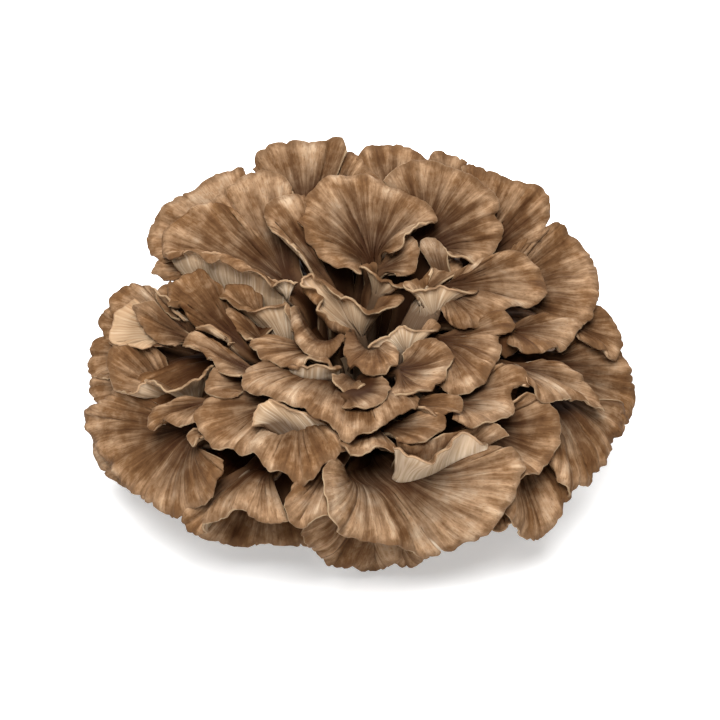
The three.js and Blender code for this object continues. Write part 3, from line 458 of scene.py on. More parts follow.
def curve_through(points, u):
    """A smooth curve through the points at the shares u of its numbered length: between two points
    it is the cubic whose slope at each is half the step between that point's neighbours."""
    p = np.asarray(points, float)
    ends = np.vstack([2 * p[0] - p[1], p, 2 * p[-1] - p[-2]])
    s = np.clip(u, 0, 1) * (len(p) - 1)
    i = np.minimum(s.astype(int), len(p) - 2)
    w = (s - i)[:, None]
    a, b, c, d = ends[i], ends[i + 1], ends[i + 2], ends[i + 3]
    squared = (2 * a - 5 * b + 4 * c - d) * w**2
    cubed = (3 * b - a - 3 * c + d) * w**3
    return 0.5 * (2 * b + (c - a) * w + squared + cubed)


def hermite(start, end, leave, arrive, s):
    """The cubic from start to end that leaves and arrives with the given slopes, at shares s."""
    return (
        start * (1 + 2 * s) * (1 - s) ** 2
        + leave * s * (1 - s) ** 2
        + end * s**2 * (3 - 2 * s)
        + arrive * s**2 * (s - 1)
    )


def travelled(points, axis=0):
    """How far each point is from the first of its line, along the steps from point to point."""
    steps = np.linalg.norm(np.diff(points, axis=axis), axis=-1)
    return np.concatenate([np.zeros_like(steps.take([0], axis)), np.cumsum(steps, axis)], axis)


def normals(sheet):
    """Directions square to a sheet of points, on its cap side."""
    return unit(np.cross(np.gradient(sheet, axis=0), np.gradient(sheet, axis=1)))


def waves(along, lengths, rng):
    """A sum of sines of the given wavelengths with random phases, scaled to about one."""
    total = sum(np.sin(2 * np.pi * along / length + rng.uniform(0, 2 * np.pi)) for length in lengths)
    return total / np.sqrt(len(lengths))


def lumps(points, size, rng):
    """Smooth lumps in space: a product of sines along three slanting directions."""
    directions = unit(rng.normal(size=(3, 3)))
    phases = rng.uniform(0, 2 * np.pi, 3)
    return np.prod(np.sin(points @ directions.T * (2 * np.pi / size) + phases), axis=-1) * 2


def neck_line(frond, rim, u):
    """The line where the stalk opens: straight across the way out, or a curve through its points."""
    neck = np.asarray(frond["neck"], float)
    if len(neck) > 1:
        return curve_through(neck, u)
    outward = unit(rim.mean(0) - neck[0])
    across = rim[-1] - rim[0]
    across = unit(across - outward * (across @ outward))
    return neck[0] + across * (frond.get("width", 6.0) * (u - 0.5))[:, None]


def root_of(fronds):
    """Where a branch leaves the head of the butt: on the way from its heart to the necks."""
    away = np.mean([np.mean(f["neck"], axis=0) for f in fronds], axis=0) - HEART
    reach = np.linalg.norm(away / (HEAD_RADIUS, HEAD_RADIUS, HEAD_RISE))
    return HEART + away * ROOT_DEPTH / reach


def stalk_sheet(root, neck, outward, u, look):
    """The stalk: a strap along a cubic from the root to the neck, which it widens to meet."""
    centre = neck.mean(0)
    reach = np.linalg.norm(centre - root)
    s = np.linspace(0, 1, look.stalk_rows + 1)[:-1]
    middle = hermite(root, centre, unit(root - HEART) * reach, outward * reach, s[:, None])
    strap = unit(neck[-1] - neck[0]) * (look.root_width * (u - 0.5))[:, None]
    share = smooth(0.2, 1, s)[:, None, None]
    stalk = middle[:, None] + strap * (1 - share) + (neck - centre) * share
    return stalk.transpose(1, 0, 2)


def rim_cuts(frond, along, u, look, rng):
    """How deep the rim is cut back at each column, how much of that is its scallops, and how torn it
    is. Rounded lobes with sharp notches between them drift and change along the rim, fine teeth are
    added, and a tear is bell-shaped."""
    lobe = frond.get("lobe", look.lobe)
    warp = along + 0.3 * lobe * waves(along, [share * lobe for share in LOBE_DRIFT], rng)
    deep = 0.65 + 0.35 * waves(along, [share * lobe for share in NOTCH_DEPTHS], rng)
    cusp = 1 - np.abs(np.sin(np.pi * warp / lobe)) ** 0.7
    teeth = 0.5 + 0.5 * waves(along, TEETH, rng)
    scallops = frond.get("notch", look.notch) * np.clip(deep, 0, 2) * cusp
    cut = scallops + look.serration * teeth
    torn = np.zeros_like(u)
    for place, depth, half in frond.get("splits", ()):
        near = np.exp(-(((u - place) * along[-1] / half) ** 2))
        cut = cut + depth * near
        torn = np.maximum(torn, near)
    return cut, scallops, torn


def relief(frond, sheet, along, ray, out, look, rng):
    """How far each point stands off the sheet: ruffles that grow towards the rim, fine pleats, broad
    folds with sharp valleys, less on short rays, and lumps."""
    ruffle = frond.get("ruffle", look.ruffle) * waves(along, RUFFLES, rng)[:, None] * out[None] ** 2.2
    pleat = look.pleat * waves(along, PLEATS, rng)[:, None] * np.sin(np.pi * out**0.6)[None]
    fold = np.abs(waves(along, FOLDS, rng))[:, None] * smooth(0.05, 0.7, out)[None]
    fold = frond.get("fold", 1.0) * look.fold * fold * np.clip(ray / FOLD_RAY, 0.3, 1)[:, None]
    bump = look.lumps * lumps(sheet, LUMP_SIZE, rng) * (0.4 + 0.6 * out[None])
    return ruffle + pleat + fold + bump


def rim_arc(frond, along, ray, to_rim, look, rng):
    """How far the points of each ray move outward and down as its last stretch bends into an arc.
    The stretch is shorter on short rays, and the stalk's rows stay."""
    bend = (frond.get("curl", look.curl) * np.clip(ray / CURL_RAY, 0.4, 1))[:, None]
    turn = np.radians(frond.get("roll", look.roll)) * (0.85 + 0.3 * waves(along, ROLLS, rng))
    turn = np.maximum(turn, LEAST_TURN)[:, None]
    into = np.clip(1 - to_rim / bend, 0, 1)
    into = np.concatenate([np.zeros((len(into), look.stalk_rows)), into], axis=1)
    return bend * (np.sin(turn * into) / turn - into), bend * (1 - np.cos(turn * into)) / turn


def marks_of(frond, sheet, along, out, torn, look):
    """What the skins need to know about each point. In millimetres: its place along the rim and past
    the neck, and its inset from the nearest edge. From 0 to 1: how far out its colours are, how torn
    it is, and whether the cap's skin turns over it."""
    from_side, from_root = travelled(sheet), travelled(sheet, 1)
    to_rim = from_root[:, -1:] - from_root
    begin = frond.get("begin", 0.0)
    margin = frond.get("cuff", look.cuff)
    marks = dict(
        along=along[:, None],
        past_neck=from_root - from_root[:, look.stalk_rows][:, None],
        inset=np.minimum(np.minimum(from_side, from_side[-1] - from_side), to_rim),
        out=begin + (1 - begin) * out[None],
        torn=torn[:, None] * smooth(0.66, 0.92, out)[None],
        cuff=smooth(margin, 0.5 * margin, to_rim),
    )
    return {key: np.broadcast_to(values, to_rim.shape) for key, values in marks.items()}


def frond_sheet(frond, root, look, rng):
    """The middle surface of a frond and its stalk, how far out each of its rows is, and its marks.

    Columns u run across and are closer near the sides, rows t run along and are closer near the rim.
    The frond's rays are cubics that leave the neck along the stalk and end straight on the rim,
    lifted by the belly along their own normals."""
    rim_length = travelled(curve_through(frond["rim"], np.linspace(0, 1, RIM_POINTS)))[-1]
    k = np.linspace(0, 1, int(np.clip(rim_length / look.grain, *ACROSS)) + 1)
    u = 0.5 * k + 0.5 * (0.5 - 0.5 * np.cos(np.pi * k))
    rim = curve_through(frond["rim"], u)
    neck = neck_line(frond, rim, u)
    along = travelled(rim)
    ray = np.linalg.norm(rim - neck, axis=1)
    outward = unit(rim.mean(0) - neck.mean(0))

    rows = int(np.clip(ray.max() / look.grain, *OUTWARD))
    t = 1 - (1 - np.linspace(0, 1, rows + 1)) ** 1.5
    cut, scallops, torn = rim_cuts(frond, along, u, look, rng)
    keep = 1 - (cut / np.maximum(ray, 1))[:, None] * t[None] ** 3
    reached = (t[None] * keep)[..., None]
    start, end = neck[:, None], rim[:, None]
    leave = (look.flare * ray)[:, None, None] * outward
    blade = hermite(start, end, leave, end - start, reached)
    facing = unit(np.cross(np.gradient(neck + rim, axis=0), rim - neck))
    blade = blade + facing[:, None] * (frond.get("belly", 0.0) * 4 * reached * (1 - reached))

    sheet = np.concatenate([stalk_sheet(root, neck, outward, u, look), blade], axis=1)
    out = np.concatenate([np.zeros(look.stalk_rows), t])
    raised = relief(frond, sheet, along, ray, out, look, rng)
    raised = raised - 0.5 * scallops[:, None] * smooth(0.6, 1.0, out)[None]
    to_rim = (keep[:, -1:] - reached[..., 0]) * ray[:, None]
    forward, down = rim_arc(frond, along, ray, to_rim, look, rng)
    ahead = unit(np.gradient(sheet, axis=1))
    sheet = sheet + normals(sheet) * (raised - down)[..., None] + ahead * forward[..., None]
    return sheet, out, marks_of(frond, sheet, along, out, torn, look)


def frond_skin(sheet, out, marks, look):
    """The closed skin of a frond: both sides of its sheet, apart by a thickness that thins from
    root to rim and rounds off to nothing at the edge, as the end of a slab with a half-round edge."""
    down = np.linspace(0, 1, look.stalk_rows + 1)[:-1]
    inward = (1 - out[look.stalk_rows:]) ** 2.5
    stalk = look.root_thickness + (look.neck_thickness - look.root_thickness) * down
    blade = look.rim_thickness + (look.neck_thickness - look.rim_thickness) * inward
    radius = np.concatenate([stalk, blade]) / 2
    edge = np.clip(marks["inset"] / radius, 0, 1)
    half = (radius * np.sqrt(1 - (1 - edge) ** 2))[..., None]
    n = normals(sheet)
    cap, pores = sheet + n * half, sheet - n * half

    columns, rows = sheet.shape[:2]
    top = np.arange(columns * rows).reshape(columns, rows)
    inner = np.zeros_like(top, bool)
    inner[1:-1, 1:-1] = True
    cap[~inner] = sheet[~inner]
    under = top.copy()
    under[inner] = columns * rows + np.arange(inner.sum())

    def quads(index, turned):
        corners = [index[:-1, :-1], index[1:, :-1], index[1:, 1:], index[:-1, 1:]]
        corners = corners[::-1] if turned else corners
        return np.stack([c.ravel() for c in corners], axis=1)

    faces = np.concatenate([quads(top, False), quads(under, True)])
    skin = {key: np.concatenate([value.reshape(-1), value[inner]]) for key, value in marks.items()}
    skin["points"] = np.concatenate([cap.reshape(-1, 3), pores[inner]])
    skin["faces"] = faces
    skin["sides"] = np.repeat([0, 1], len(faces) // 2)
    return skin


def join(skins):
    """Several skins as one: their arrays end to end, with the face corners moved on."""
    starts = np.cumsum([0] + [len(s["points"]) for s in skins[:-1]])
    whole = {key: np.concatenate([s[key] for s in skins]) for key in skins[0] if key != "faces"}
    whole["faces"] = np.concatenate([s["faces"] + start for s, start in zip(skins, starts)])
    return whole


def object_from(name, data, *materials):
    """A new object in the scene from a mesh, a lamp or a camera, with the mesh's materials."""
    for material in materials:
        data.materials.append(material)
    made = bpy.data.objects.new(name, data)
    bpy.context.scene.collection.objects.link(made)
    return made


def mesh_from(name, skin, materials):
    """A Blender object at the origin from a skin's arrays, with its UV map and attributes."""
    mesh = bpy.data.meshes.new(name)
    faces = skin["faces"]
    mesh.vertices.add(len(skin["points"]))
    mesh.vertices.foreach_set("co", (skin["points"] * MM).astype(np.float32).ravel())
    mesh.loops.add(faces.size)
    mesh.loops.foreach_set("vertex_index", faces.astype(np.int32).ravel())
    mesh.polygons.add(len(faces))
    mesh.polygons.foreach_set("loop_start", np.arange(0, faces.size, 4, dtype=np.int32))
    mesh.polygons.foreach_set("loop_total", np.full(len(faces), 4, np.int32))
    mesh.polygons.foreach_set("material_index", skin["sides"].astype(np.int32))
    mesh.polygons.foreach_set("use_smooth", np.ones(len(faces), bool))
    uv = mesh.uv_layers.new(name="fan")
    pairs = np.stack([skin["along"], skin["past_neck"]], axis=1)[faces.ravel()] * CM_PER_MM
    uv.data.foreach_set("uv", pairs.astype(np.float32).ravel())
    for key in ("inset", "out", "torn", "cuff", "tone", "seed"):
        layer = mesh.attributes.new(key, "FLOAT", "POINT")
        layer.data.foreach_set("value", np.asarray(skin[key], np.float32))
    mesh.update()
    mesh.validate()
    return object_from(name, mesh, *materials)


def butt_skin(rng):
    """The stem butt: rings about the upright axis. Their radius follows a smooth curve from the
    cut face over the widest place to the top. Furrows, sharp at the bottom, deepen upwards
    between the stalks, and slow waves make the lobes unequal."""
    angle = np.linspace(0, 2 * np.pi, BUTT_AROUND + 1)[:-1]
    v = np.linspace(0, 1, BUTT_LEVELS)
    profile = [
        (CUT_RADIUS - 1.5, 0),
        (CUT_RADIUS, 0.6),
        (CUT_RADIUS + 1, 5),
        (0.9 * HEAD_RADIUS, 11),
        (HEAD_RADIUS, 22),
        (0.87 * HEAD_RADIUS, 35.5),
        (0.5 * HEAD_RADIUS, 45.5),
        (0.01, 49),
    ]
    reach, height = curve_through(profile, v).T[..., None]
    lean = rng.uniform(1.5, 2.5) * v[:, None]
    furrow = (1 - np.abs(np.sin(FURROWS / 2 * angle + 0.5 * np.sin(2 * angle) + 0.5 * lean))) ** 3
    swell = 0.04 * np.cos(5 * angle + lean) + 0.02 * np.sin(11 * angle + 2.5 * lean)
    radius = reach * (1 + smooth(0, HEART[2], height) * (swell - 0.1 * furrow))
    back = HEART[1] * np.minimum(1, height / HEART[2])
    up = np.broadcast_to(np.maximum(height, 0), radius.shape)
    return np.stack([radius * np.cos(angle), radius * np.sin(angle) + back, up], axis=-1)


def closed_rings(points):
    """A closed skin from rings of points: quads round each ring, and a fan of quads over each end
    that meets in the ring's middle."""

    def shrunk(ring, share):
        return ring.mean(0) + (ring - ring.mean(0)) * share

    below = [shrunk(points[0], share) for share in END_RINGS]
    rings = np.concatenate([below, points, [shrunk(points[-1], END_RINGS[0])]])
    levels, around = rings.shape[:2]
    index = np.arange(levels * around).reshape(levels, around)
    nxt = np.roll(index, -1, axis=1)
    faces = [np.stack([index[:-1], nxt[:-1], nxt[1:], index[1:]], axis=-1).reshape(-1, 4)]
    half = around // 2
    for ring, turned in ((index[0], True), (index[-1], False)):
        left, right = ring[: half + 1], np.roll(ring[::-1], 1)[: half + 1]
        strip = np.stack([left[:-1], left[1:], right[1:], right[:-1]], axis=1)
        faces.append(strip[1:-1, ::-1] if turned else strip[1:-1])
    return rings.reshape(-1, 3), np.concatenate(faces)


# -------- shaders


class Socket:
    """A node's output that Python arithmetic works on: each sign adds its Math node."""

    def __init__(self, nodes, output):
        self.nodes = nodes
        self.output = output

    def beside(self, name):
        """Another output of the same node."""
        return Socket(self.nodes, self.output.node.outputs[name])

    def math(self, operation, other, turned=False):
        pair = [other, self] if turned else [self, other]
        return self.nodes.node("ShaderNodeMath", {"operation": operation}, dict(enumerate(pair)))

    def __add__(self, other):
        return self.math("ADD", other)

    def __sub__(self, other):
        return self.math("SUBTRACT", other)

    def __rsub__(self, other):
        return self.math("SUBTRACT", other, turned=True)

    def __mul__(self, other):
        return self.math("MULTIPLY", other)

    def __pow__(self, other):
        return self.math("POWER", other)

    __radd__ = __add__
    __rmul__ = __mul__


class Nodes:
    """A node tree that nodes are added to."""

    def __init__(self, tree):
        self.tree = tree

    def node(self, kind, settings=None, inputs=None, output=0):
        """A node of a kind. Its settings are made first, such as a ramp's stops, each a place from 0
        to 1 and a colour. Then its inputs are given or linked."""
        made = self.tree.nodes.new(kind)
        for key, value in (settings or {}).items():
            if key == "stops":
                elements = made.color_ramp.elements
                while len(elements) < len(value):
                    elements.new(1.0)
                for element, (place, colour) in zip(elements, value):
                    element.position = place
                    element.color = (*colour, 1.0)
            else:
                setattr(made, key, value)
        for key, value in (inputs or {}).items():
            if isinstance(value, Socket):
                self.tree.links.new(value.output, made.inputs[key])
            else:
                made.inputs[key].default_value = value
        return Socket(self, made.outputs[output])

    def attribute(self, name):
        return self.node("ShaderNodeAttribute", {"attribute_name": name}, output="Fac")

    def place(self):
        """The place in space, in metres."""
        return self.node("ShaderNodeTexCoord", output="Object")

    def noise(self, vector, scale, detail=2.0, roughness=0.5):
        inputs = {"Vector": vector, "Scale": scale, "Detail": detail, "Roughness": roughness}
        return self.node("ShaderNodeTexNoise", None, inputs)

    def band(self, value, low, high):
        """0 at low, 1 at high, with soft ends."""
        inputs = {"Value": value, "From Min": low, "From Max": high}
        return self.node("ShaderNodeMapRange", {"interpolation_type": "SMOOTHSTEP"}, inputs)

    def ramp(self, value, *stops):
        return self.node("ShaderNodeValToRGB", {"stops": stops}, {0: value})

    def mix(self, factor, first, second):
        """The first colour where the factor is 0, and the second where it is 1."""
        pair = [c if isinstance(c, Socket) else (*c, 1.0) for c in (first, second)]
        inputs = {0: factor, 6: pair[0], 7: pair[1]}
        return self.node("ShaderNodeMix", {"data_type": "RGBA", "clamp_result": True}, inputs, 2)

    def bump(self, height, distance):
        inputs = {"Height": height, "Distance": distance, "Strength": 1.0}
        return self.node("ShaderNodeBump", None, inputs, "Normal")

    def streaks(self, across, outward, seed, roughness=0.5):
        """Noise drawn out along the rays. Its place is centimetres across and outward, each times
        its own number of cycles, with the frond's seed as the third coordinate."""
        place = self.node("ShaderNodeUVMap", {"uv_map": "fan"})
        x = self.node("ShaderNodeSeparateXYZ", None, {0: place}, "X")
        parts = {0: x * across, 1: x.beside("Y") * outward, 2: seed * SEED_STEP}
        return self.noise(self.node("ShaderNodeCombineXYZ", None, parts), 1.0, 2.0, roughness)


class Shader(Nodes):
    """A material's node tree, with a Principled shader that its parts are linked to."""

    def __init__(self, name, constants):
        self.material = bpy.data.materials.new(name)
        self.material.use_nodes = True
        super().__init__(self.material.node_tree)
        self.tree.nodes.clear()
        self.surface = self.tree.nodes.new("ShaderNodeBsdfPrincipled")
        self.end = self.tree.nodes.new("ShaderNodeOutputMaterial")
        self.tree.links.new(self.surface.outputs[0], self.end.inputs["Surface"])
        for key, value in constants.items():
            self.surface.inputs[key].default_value = value

    def feed(self, name, value):
        """Links a socket of the Principled shader."""
        self.tree.links.new(value.output, self.surface.inputs[name])


def cap_skin(skin):
    """Brown cap side: fine fibres, streaks and broad rays that run out from the neck, over patches.
    Painted shade darkens it towards the neck, where the fronds shade each other. It greys in a ragged
    band inside the rim, and a painted highlight gives it a thin pale edge."""
    s = Shader("cap_skin", {"Specular IOR Level": 0.06})
    seed, tone = s.attribute("seed"), s.attribute("tone")
    inset, out = s.attribute("inset"), s.attribute("out")
    place = s.place()
    fibre = s.streaks(34.0, 3.6, seed, 0.6)
    streak = s.streaks(9.0, 1.2, seed)
    ray = s.streaks(2.0, 0.35, seed)
    patch = s.noise(place, 75.0, 3.0, 0.6)
    mottle = s.noise(place, 230.0, 3.0, 0.7)
    grain = s.noise(place, 900.0, 2.0, 0.6)
    fleck = s.streaks(22.0, 5.0, seed + 3.0, 0.6)
    shade = fibre * 0.24 + streak * 0.2 + ray * 0.55 + patch * 0.95 + mottle * 0.5 + tone * 0.08 - 0.72
    stops = (0.12, skin.dark), (0.4, skin.mid), (0.62, skin.light), (0.88, skin.pale)
    colour = s.mix(s.band(fleck, 0.56, 0.72) * 0.5, s.ramp(shade, *stops), skin.dark)
    # Painted shade: the cap darkens towards the neck, deep among the other fronds
    neck = 1.0 - s.band(out + (ray - 0.5) * 0.6 + (streak - 0.5) * 0.35, 0.1, 1.35)
    colour = s.mix(neck**0.7 * 0.98, colour, skin.neck)
    ragged = inset + (ray - 0.5) * 3.0 + (mottle - 0.5) * 5.0
    colour = s.mix(s.band(ragged, 4.2, 0.6) * 0.6, colour, skin.band)
    # Painted highlight: a thin pale line along the very edge, on some patches
    edge = s.band(inset, 0.4, 0.1) * s.band(patch, 0.4, 0.6)
    colour = s.mix(edge * 0.6, colour, skin.edge)
    colour = s.mix(s.band(s.attribute("torn"), 0.3, 0.7) * 0.9, colour, skin.pore_light)
    s.feed("Base Color", colour)
    s.feed("Roughness", 0.56 + fibre * 0.2)
    relief = fibre * 0.4 + grain * 0.35 + streak * 0.5
    s.feed("Normal", s.bump(relief * s.band(out, 0.1, 0.6), CAP_RELIEF))
    return s.material


def pore_skin(skin):
    """Cream underside: shallow ribs that run out from the neck, over fine pores. Painted shade makes it
    brown near the stalk, and painted light makes it paler towards the rim. It is also brown along the
    rim where the cap's skin turns over it."""
    s = Shader("pore_skin", {"Specular IOR Level": 0.1})
    seed, out = s.attribute("seed"), s.attribute("out")
    place = s.place()
    rib = s.streaks(9.0, 0.5, seed, 0.55)
    patch = s.noise(place, 60.0)
    pores = s.node("ShaderNodeTexVoronoi", None, {"Vector": place, "Scale": 1900.0}, "Distance")
    shade = rib * 0.85 + patch * 0.5 - 0.15 + s.attribute("tone") * 0.06
    stops = (0.2, skin.pore_dark), (0.5, skin.pore), (0.75, skin.pore_light)
    # Painted shade: the underside browns towards the stalk
    neck = 1.0 - s.band(out + (rib - 0.5) * 0.15, -0.1, 0.95)
    colour = s.mix(neck * 0.9, s.ramp(shade, *stops), skin.stalk)
    # Painted light: the underside is paler near the rim, where it is lit
    colour = s.mix(s.band(out, 0.6, 1.0) * 0.3, colour, skin.light)
    colour = s.mix(s.attribute("cuff") * 0.85, colour, s.mix(patch, skin.band, skin.light))
    s.feed("Base Color", colour)
    s.feed("Roughness", 0.62 + patch * 0.15)
    relief = rib * s.band(out, 0.1, 0.6) * 0.9 + pores * 0.08
    s.feed("Normal", s.bump(relief, PORE_RELIEF))
    return s.material


def butt_flesh(skin):
    """Cream flesh of the butt, with blotches and fine grain, browner towards the stalks."""
    s = Shader("butt_flesh", {"Specular IOR Level": 0.15})
    place = s.place()
    patch = s.noise(place, 55.0, 3.0, 0.55)
    grain = s.noise(place, 500.0, 2.0, 0.6)
    stops = (0.25, skin.pore_dark), (0.5, skin.pore), (0.75, skin.pore_light)
    colour = s.ramp(patch * 0.85 + grain * 0.15, *stops)
    high = s.node("ShaderNodeSeparateXYZ", None, {0: place}, "Z")
    s.feed("Base Color", s.mix(s.band(high, 0.01, 0.04) * 0.6, colour, skin.stalk))
    s.feed("Roughness", 0.66 + patch * 0.15)
    s.feed("Normal", s.bump(patch * 1.5 + grain * 0.4, FLESH_RELIEF))
    return s.material


def studio_floor(stage):
    """Pale floor: it takes shadows, and a little added light lifts it to white where none falls,
    for what the camera and mirrors see."""
    constants = {"Specular IOR Level": 0.0, "Roughness": 0.9, "Base Color": (*stage.floor, 1.0)}
    s = Shader("studio_floor", constants)
    camera = s.node("ShaderNodeLightPath", output="Is Camera Ray")
    seen = camera + camera.beside("Is Glossy Ray") + camera.beside("Is Transmission Ray")
    away = s.node("ShaderNodeVectorMath", {"operation": "LENGTH"}, {0: s.place()}, "Value")
    strength = seen * (stage.glow + s.band(away, *FLOOR_GLOW))
    glow = s.node("ShaderNodeEmission", None, {"Strength": strength})
    added = s.node("ShaderNodeAddShader", None, {0: Socket(s, s.surface.outputs[0]), 1: glow})
    s.tree.links.new(added.output, s.end.inputs["Surface"])
    return s.material


# -------- settings


def shade(name, red, green, blue, words):
    """A colour setting, from the 0 to 255 values that a colour chart gives. Each is made linear: by a
    power of 2.4 above 10, and by a straight line below."""
    linear = [
        ((c / 255 + 0.055) / 1.055) ** 2.4 if c > 10 else c / 255 / 12.92 for c in (red, green, blue)
    ]
    return bpy.props.FloatVectorProperty(
        name=name, description=words, default=linear, size=3, min=0, max=1, subtype="COLOR"
    )


def amount(name, default, words, **limits):
    """A number setting."""
    return bpy.props.FloatProperty(name=name, description=words, default=default, **limits)


def length(name, default, words):
    """A length setting, in millimetres."""
    return amount(name, default, words, min=-20, max=60)


class FrondLook(bpy.types.PropertyGroup):
    """Shape of a frond, in millimetres."""

    grain: length("Grain", 0.85, "Distance between the mesh's points")
    root_width: length("Root width", 9.0, "Width of a stalk at the butt")
    root_thickness: length("Root thickness", 5.0, "Thickness of a stalk at the butt")
    neck_thickness: length("Neck thickness", 2.8, "Thickness where a stalk opens")
    rim_thickness: length("Rim thickness", 0.95, "Thickness near the rim")
    lobe: length("Lobe", 5.5, "Width of a scallop of the rim")
    notch: length("Notch", 0.9, "Depth of the notches between scallops")
    cuff: length("Cuff", 0.5, "Width of the brown margin that the cap's skin turns over the pore side")
    serration: length("Serration", 0.2, "Depth of the rim's fine teeth")
    ruffle: length("Ruffle", 0.7, "Height of the waves along the rim")
    pleat: length("Pleat", 0.06, "Height of the fine radial folds")
    fold: length("Fold", 0.55, "Height of the broad radial folds")
    lumps: length("Lumps", 0.5, "Height of the broad lumps")
    curl: length("Curl", 4.5, "Length of the bend along the rim")
    roll: amount("Roll", 38, "Degrees that the rim bends down")
    flare: amount("Flare", 0.5, "How far the rays keep the stalk's direction", min=0, max=1)
    stalk_rows: bpy.props.IntProperty(
        name="Stalk rows", description="Rows of points along a stalk", default=14, min=4, max=40
    )


class SkinLook(bpy.types.PropertyGroup):
    """Colours of the cap, the pores and the flesh."""

    dark: shade("Dark fibres", 96, 60, 30, "Darkest streaks of the cap")
    mid: shade("Cap", 150, 110, 73, "Most of the cap")
    light: shade("Light fibres", 203, 164, 126, "Light streaks of the cap")
    pale: shade("Palest fibres", 234, 205, 172, "Palest streaks of the cap")
    # Painted shade of the cap near the neck
    neck: shade("Neck", 44, 21, 6, "Cap near the neck")
    band: shade("Rim band", 92, 66, 44, "Band just inside the rim")
    # Painted highlight of the thin edge
    edge: shade("Edge", 196, 170, 136, "Thin edge of a frond")
    # Painted shade of the underside near the stalk; the top of the butt is browned with it too
    stalk: shade("Stalk", 56, 33, 15, "Underside near the stalk")
    pore: shade("Pores", 182, 156, 126, "Most of the underside")
    pore_dark: shade("Pore shade", 146, 114, 82, "Darker patches of the underside")
    pore_light: shade("Pore light", 222, 203, 178, "Palest patches of the underside")


class StageLook(bpy.types.PropertyGroup):
    """Floor and lights."""

    floor: shade("Floor", 236, 236, 236, "Colour of the floor")
    glow: amount("Glow", 0.45, "Light added to the seen floor", min=0, max=2)
    sky: amount("Sky", 0.02, "Strength of the even light", min=0, max=5)
    lamp: amount("Lamp", 25.5, "Power of the overhead lamp", unit="POWER")


# -------- growing


def grow(context, ring, ring_number):
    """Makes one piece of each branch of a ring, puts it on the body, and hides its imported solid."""
    look = context.scene.frond_look
    materials = [bpy.data.materials[name] for name in ("cap_skin", "pore_skin")]
    for branch, (name, fronds) in enumerate(ring.items()):
        root = root_of(fronds)
        aside = np.array([-root[1], root[0], 0]) / (np.hypot(root[0], root[1]) + 1)
        skins = []
        for place, frond in enumerate(fronds):
            rng = np.random.default_rng(RING_SEEDS * ring_number + BRANCH_SEEDS * branch + place)
            start = root + aside * STALK_STEP * place
            skin = frond_skin(*frond_sheet(frond, start, look, rng), look)
            tone = frond.get("tone", 0.0) + rng.uniform(-TONE_SPREAD, TONE_SPREAD)
            for key, value in (("tone", tone), ("seed", rng.uniform(0, 10))):
                skin[key] = np.full(len(skin["points"]), value)
            skins.append(skin)
        piece = mesh_from(name + "_grown", join(skins), materials)
        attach(piece, BODY)
        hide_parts(name)


class MAITAKE_OT_skins(bpy.types.Operator):
    """Make the cap, pore and flesh materials"""

    bl_idname = "maitake.skins"
    bl_label = "Make skins"

    def execute(self, context):
        skin = context.scene.skin_look
        for make in (cap_skin, pore_skin, butt_flesh):
            make(skin)
        return {"FINISHED"}


class MAITAKE_OT_butt(bpy.types.Operator):
    """Make the stem butt with its cut face"""

    bl_idname = "maitake.butt"
    bl_label = "Stem butt"

    def execute(self, context):
        points, faces = closed_rings(butt_skin(np.random.default_rng(BUTT_SEED)))
        mesh = bpy.data.meshes.new("butt")
        mesh.from_pydata((points * MM).tolist(), [], faces.tolist())
        mesh.polygons.foreach_set("use_smooth", np.ones(len(faces), bool))
        mesh.update()
        piece = object_from("butt_grown", mesh, bpy.data.materials["butt_flesh"])
        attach(piece, BODY)
        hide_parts("stem_butt")
        return {"FINISHED"}


class MAITAKE_OT_crown(bpy.types.Operator):
    """Grow the high fans at the back and the ring in front of them"""

    bl_idname = "maitake.crown"
    bl_label = "Crown"

    def execute(self, context):
        grow(context, CROWN, 1)
        return {"FINISHED"}


class MAITAKE_OT_right(bpy.types.Operator):
    """Grow the fans and leaves of the right side"""

    bl_idname = "maitake.right"
    bl_label = "Right side"

    def execute(self, context):
        grow(context, RIGHT, 2)
        return {"FINISHED"}


class MAITAKE_OT_left(bpy.types.Operator):
    """Grow the fans and leaves of the left side"""

    bl_idname = "maitake.left"
    bl_label = "Left side"

    def execute(self, context):
        grow(context, LEFT, 3)
        return {"FINISHED"}


class MAITAKE_OT_heart(bpy.types.Operator):
    """Grow the small curled fronds of the middle"""

    bl_idname = "maitake.heart"
    bl_label = "Heart"

    def execute(self, context):
        grow(context, INNER, 4)
        return {"FINISHED"}


class MAITAKE_OT_front(bpy.types.Operator):
    """Grow the low fans of the front"""

    bl_idname = "maitake.front"
    bl_label = "Front"

    def execute(self, context):
        grow(context, FRONT, 5)
        return {"FINISHED"}


class MAITAKE_OT_back(bpy.types.Operator):
    """Grow the broad fans of the back and the underside"""

    bl_idname = "maitake.back"
    bl_label = "Back"

    def execute(self, context):
        ring = {name: [fan_from(*row) for row in rows] for name, rows in BACK.items()}
        grow(context, ring, 6)
        return {"FINISHED"}


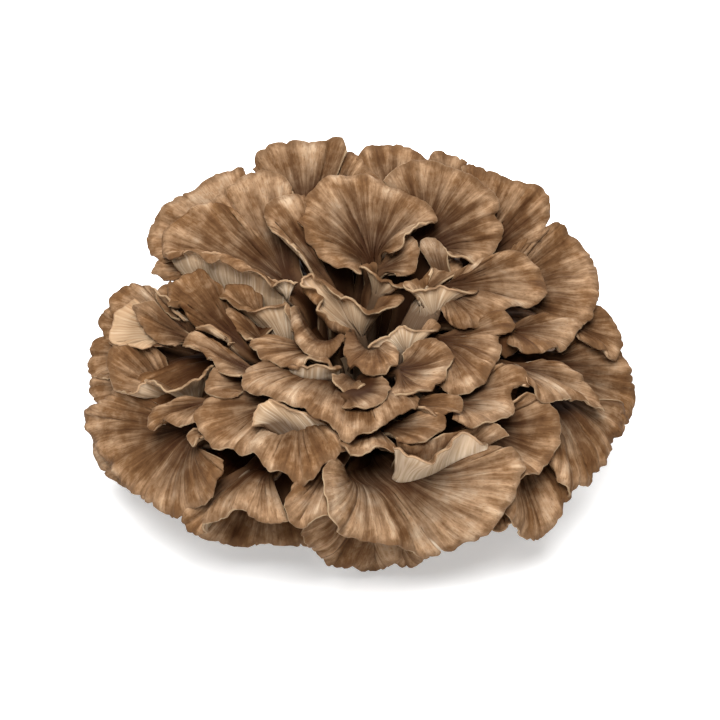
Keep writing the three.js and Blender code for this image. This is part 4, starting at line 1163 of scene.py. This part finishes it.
class MAITAKE_OT_stage(bpy.types.Operator):
    """Set the floor, the lights and the camera"""

    bl_idname = "maitake.stage"
    bl_label = "Stage"

    def execute(self, context):
        scene = context.scene
        stage = scene.stage_look
        scene.view_settings.view_transform = "Standard"

        mesh = bpy.data.meshes.new("studio_floor")
        signs = ((-1, -1), (1, -1), (1, 1), (-1, 1))
        corners = [(FLOOR_HALF * x, FLOOR_HALF * y, 0) for x, y in signs]
        mesh.from_pydata(corners, [], [(0, 1, 2, 3)])
        floor = object_from("studio_floor", mesh, studio_floor(stage))

        world = bpy.data.worlds.new("studio_sky")
        world.use_nodes = True
        sky = Nodes(world.node_tree)
        direct = sky.node("ShaderNodeLightPath", output="Is Camera Ray")
        seen = direct.math("MAXIMUM", direct.beside("Is Glossy Ray"))
        inputs = {"Value": seen, "To Min": stage.sky, "To Max": 1.0}
        strength = sky.node("ShaderNodeMapRange", None, inputs)
        background = sky.tree.nodes["Background"]
        background.inputs["Color"].default_value = (1, 1, 1, 1)
        sky.tree.links.new(strength.output, background.inputs["Strength"])
        scene.world = world

        for name, place, size, share in LAMPS:
            lamp = bpy.data.lights.new(name, "AREA")
            lamp.shape = "DISK"
            lamp.size = size
            lamp.energy = stage.lamp * share
            holder = object_from(name, lamp)
            holder.location = place
            towards = Vector(LAMP_AIM) - holder.location
            holder.rotation_euler = towards.to_track_quat("-Z", "Y").to_euler()

        camera = bpy.data.cameras.new("camera")
        camera.lens = CAMERA_LENS
        camera.sensor_width = CAMERA_SENSOR
        camera.clip_start = 0.01
        raised = np.radians(CAMERA_RAISED)
        away = Vector((0, -np.cos(raised), np.sin(raised)))
        scene.camera = object_from("camera", camera)
        scene.camera.location = Vector(CAMERA_AIM) + CAMERA_DISTANCE * away
        scene.camera.rotation_euler = (np.pi / 2 - raised, 0, 0)
        return {"FINISHED"}


STEPS = ("skins", "butt", "crown", "right", "left", "heart", "front", "back", "stage")


class MAITAKE_PT_panel(bpy.types.Panel):
    """The cluster's pieces, in the order they are made"""

    bl_idname = "MAITAKE_PT_panel"
    bl_label = "Maitake"
    bl_space_type = "VIEW_3D"
    bl_region_type = "UI"
    bl_category = "Maitake"

    def draw(self, context):
        for step in STEPS:
            self.layout.operator("maitake." + step)


SETTINGS = {"frond_look": FrondLook, "skin_look": SkinLook, "stage_look": StageLook}
CLASSES = (
    *SETTINGS.values(),
    MAITAKE_OT_skins,
    MAITAKE_OT_butt,
    MAITAKE_OT_crown,
    MAITAKE_OT_right,
    MAITAKE_OT_left,
    MAITAKE_OT_heart,
    MAITAKE_OT_front,
    MAITAKE_OT_back,
    MAITAKE_OT_stage,
    MAITAKE_PT_panel,
)


def register():
    for cls in CLASSES:
        bpy.utils.register_class(cls)
    for name, group in SETTINGS.items():
        setattr(bpy.types.Scene, name, bpy.props.PointerProperty(type=group))


def unregister():
    for name in SETTINGS:
        delattr(bpy.types.Scene, name)
    for cls in reversed(CLASSES):
        bpy.utils.unregister_class(cls)


def main():
    register()
    for step in STEPS:
        getattr(bpy.ops.maitake, step)()


if __name__ == "__main__":
    main()
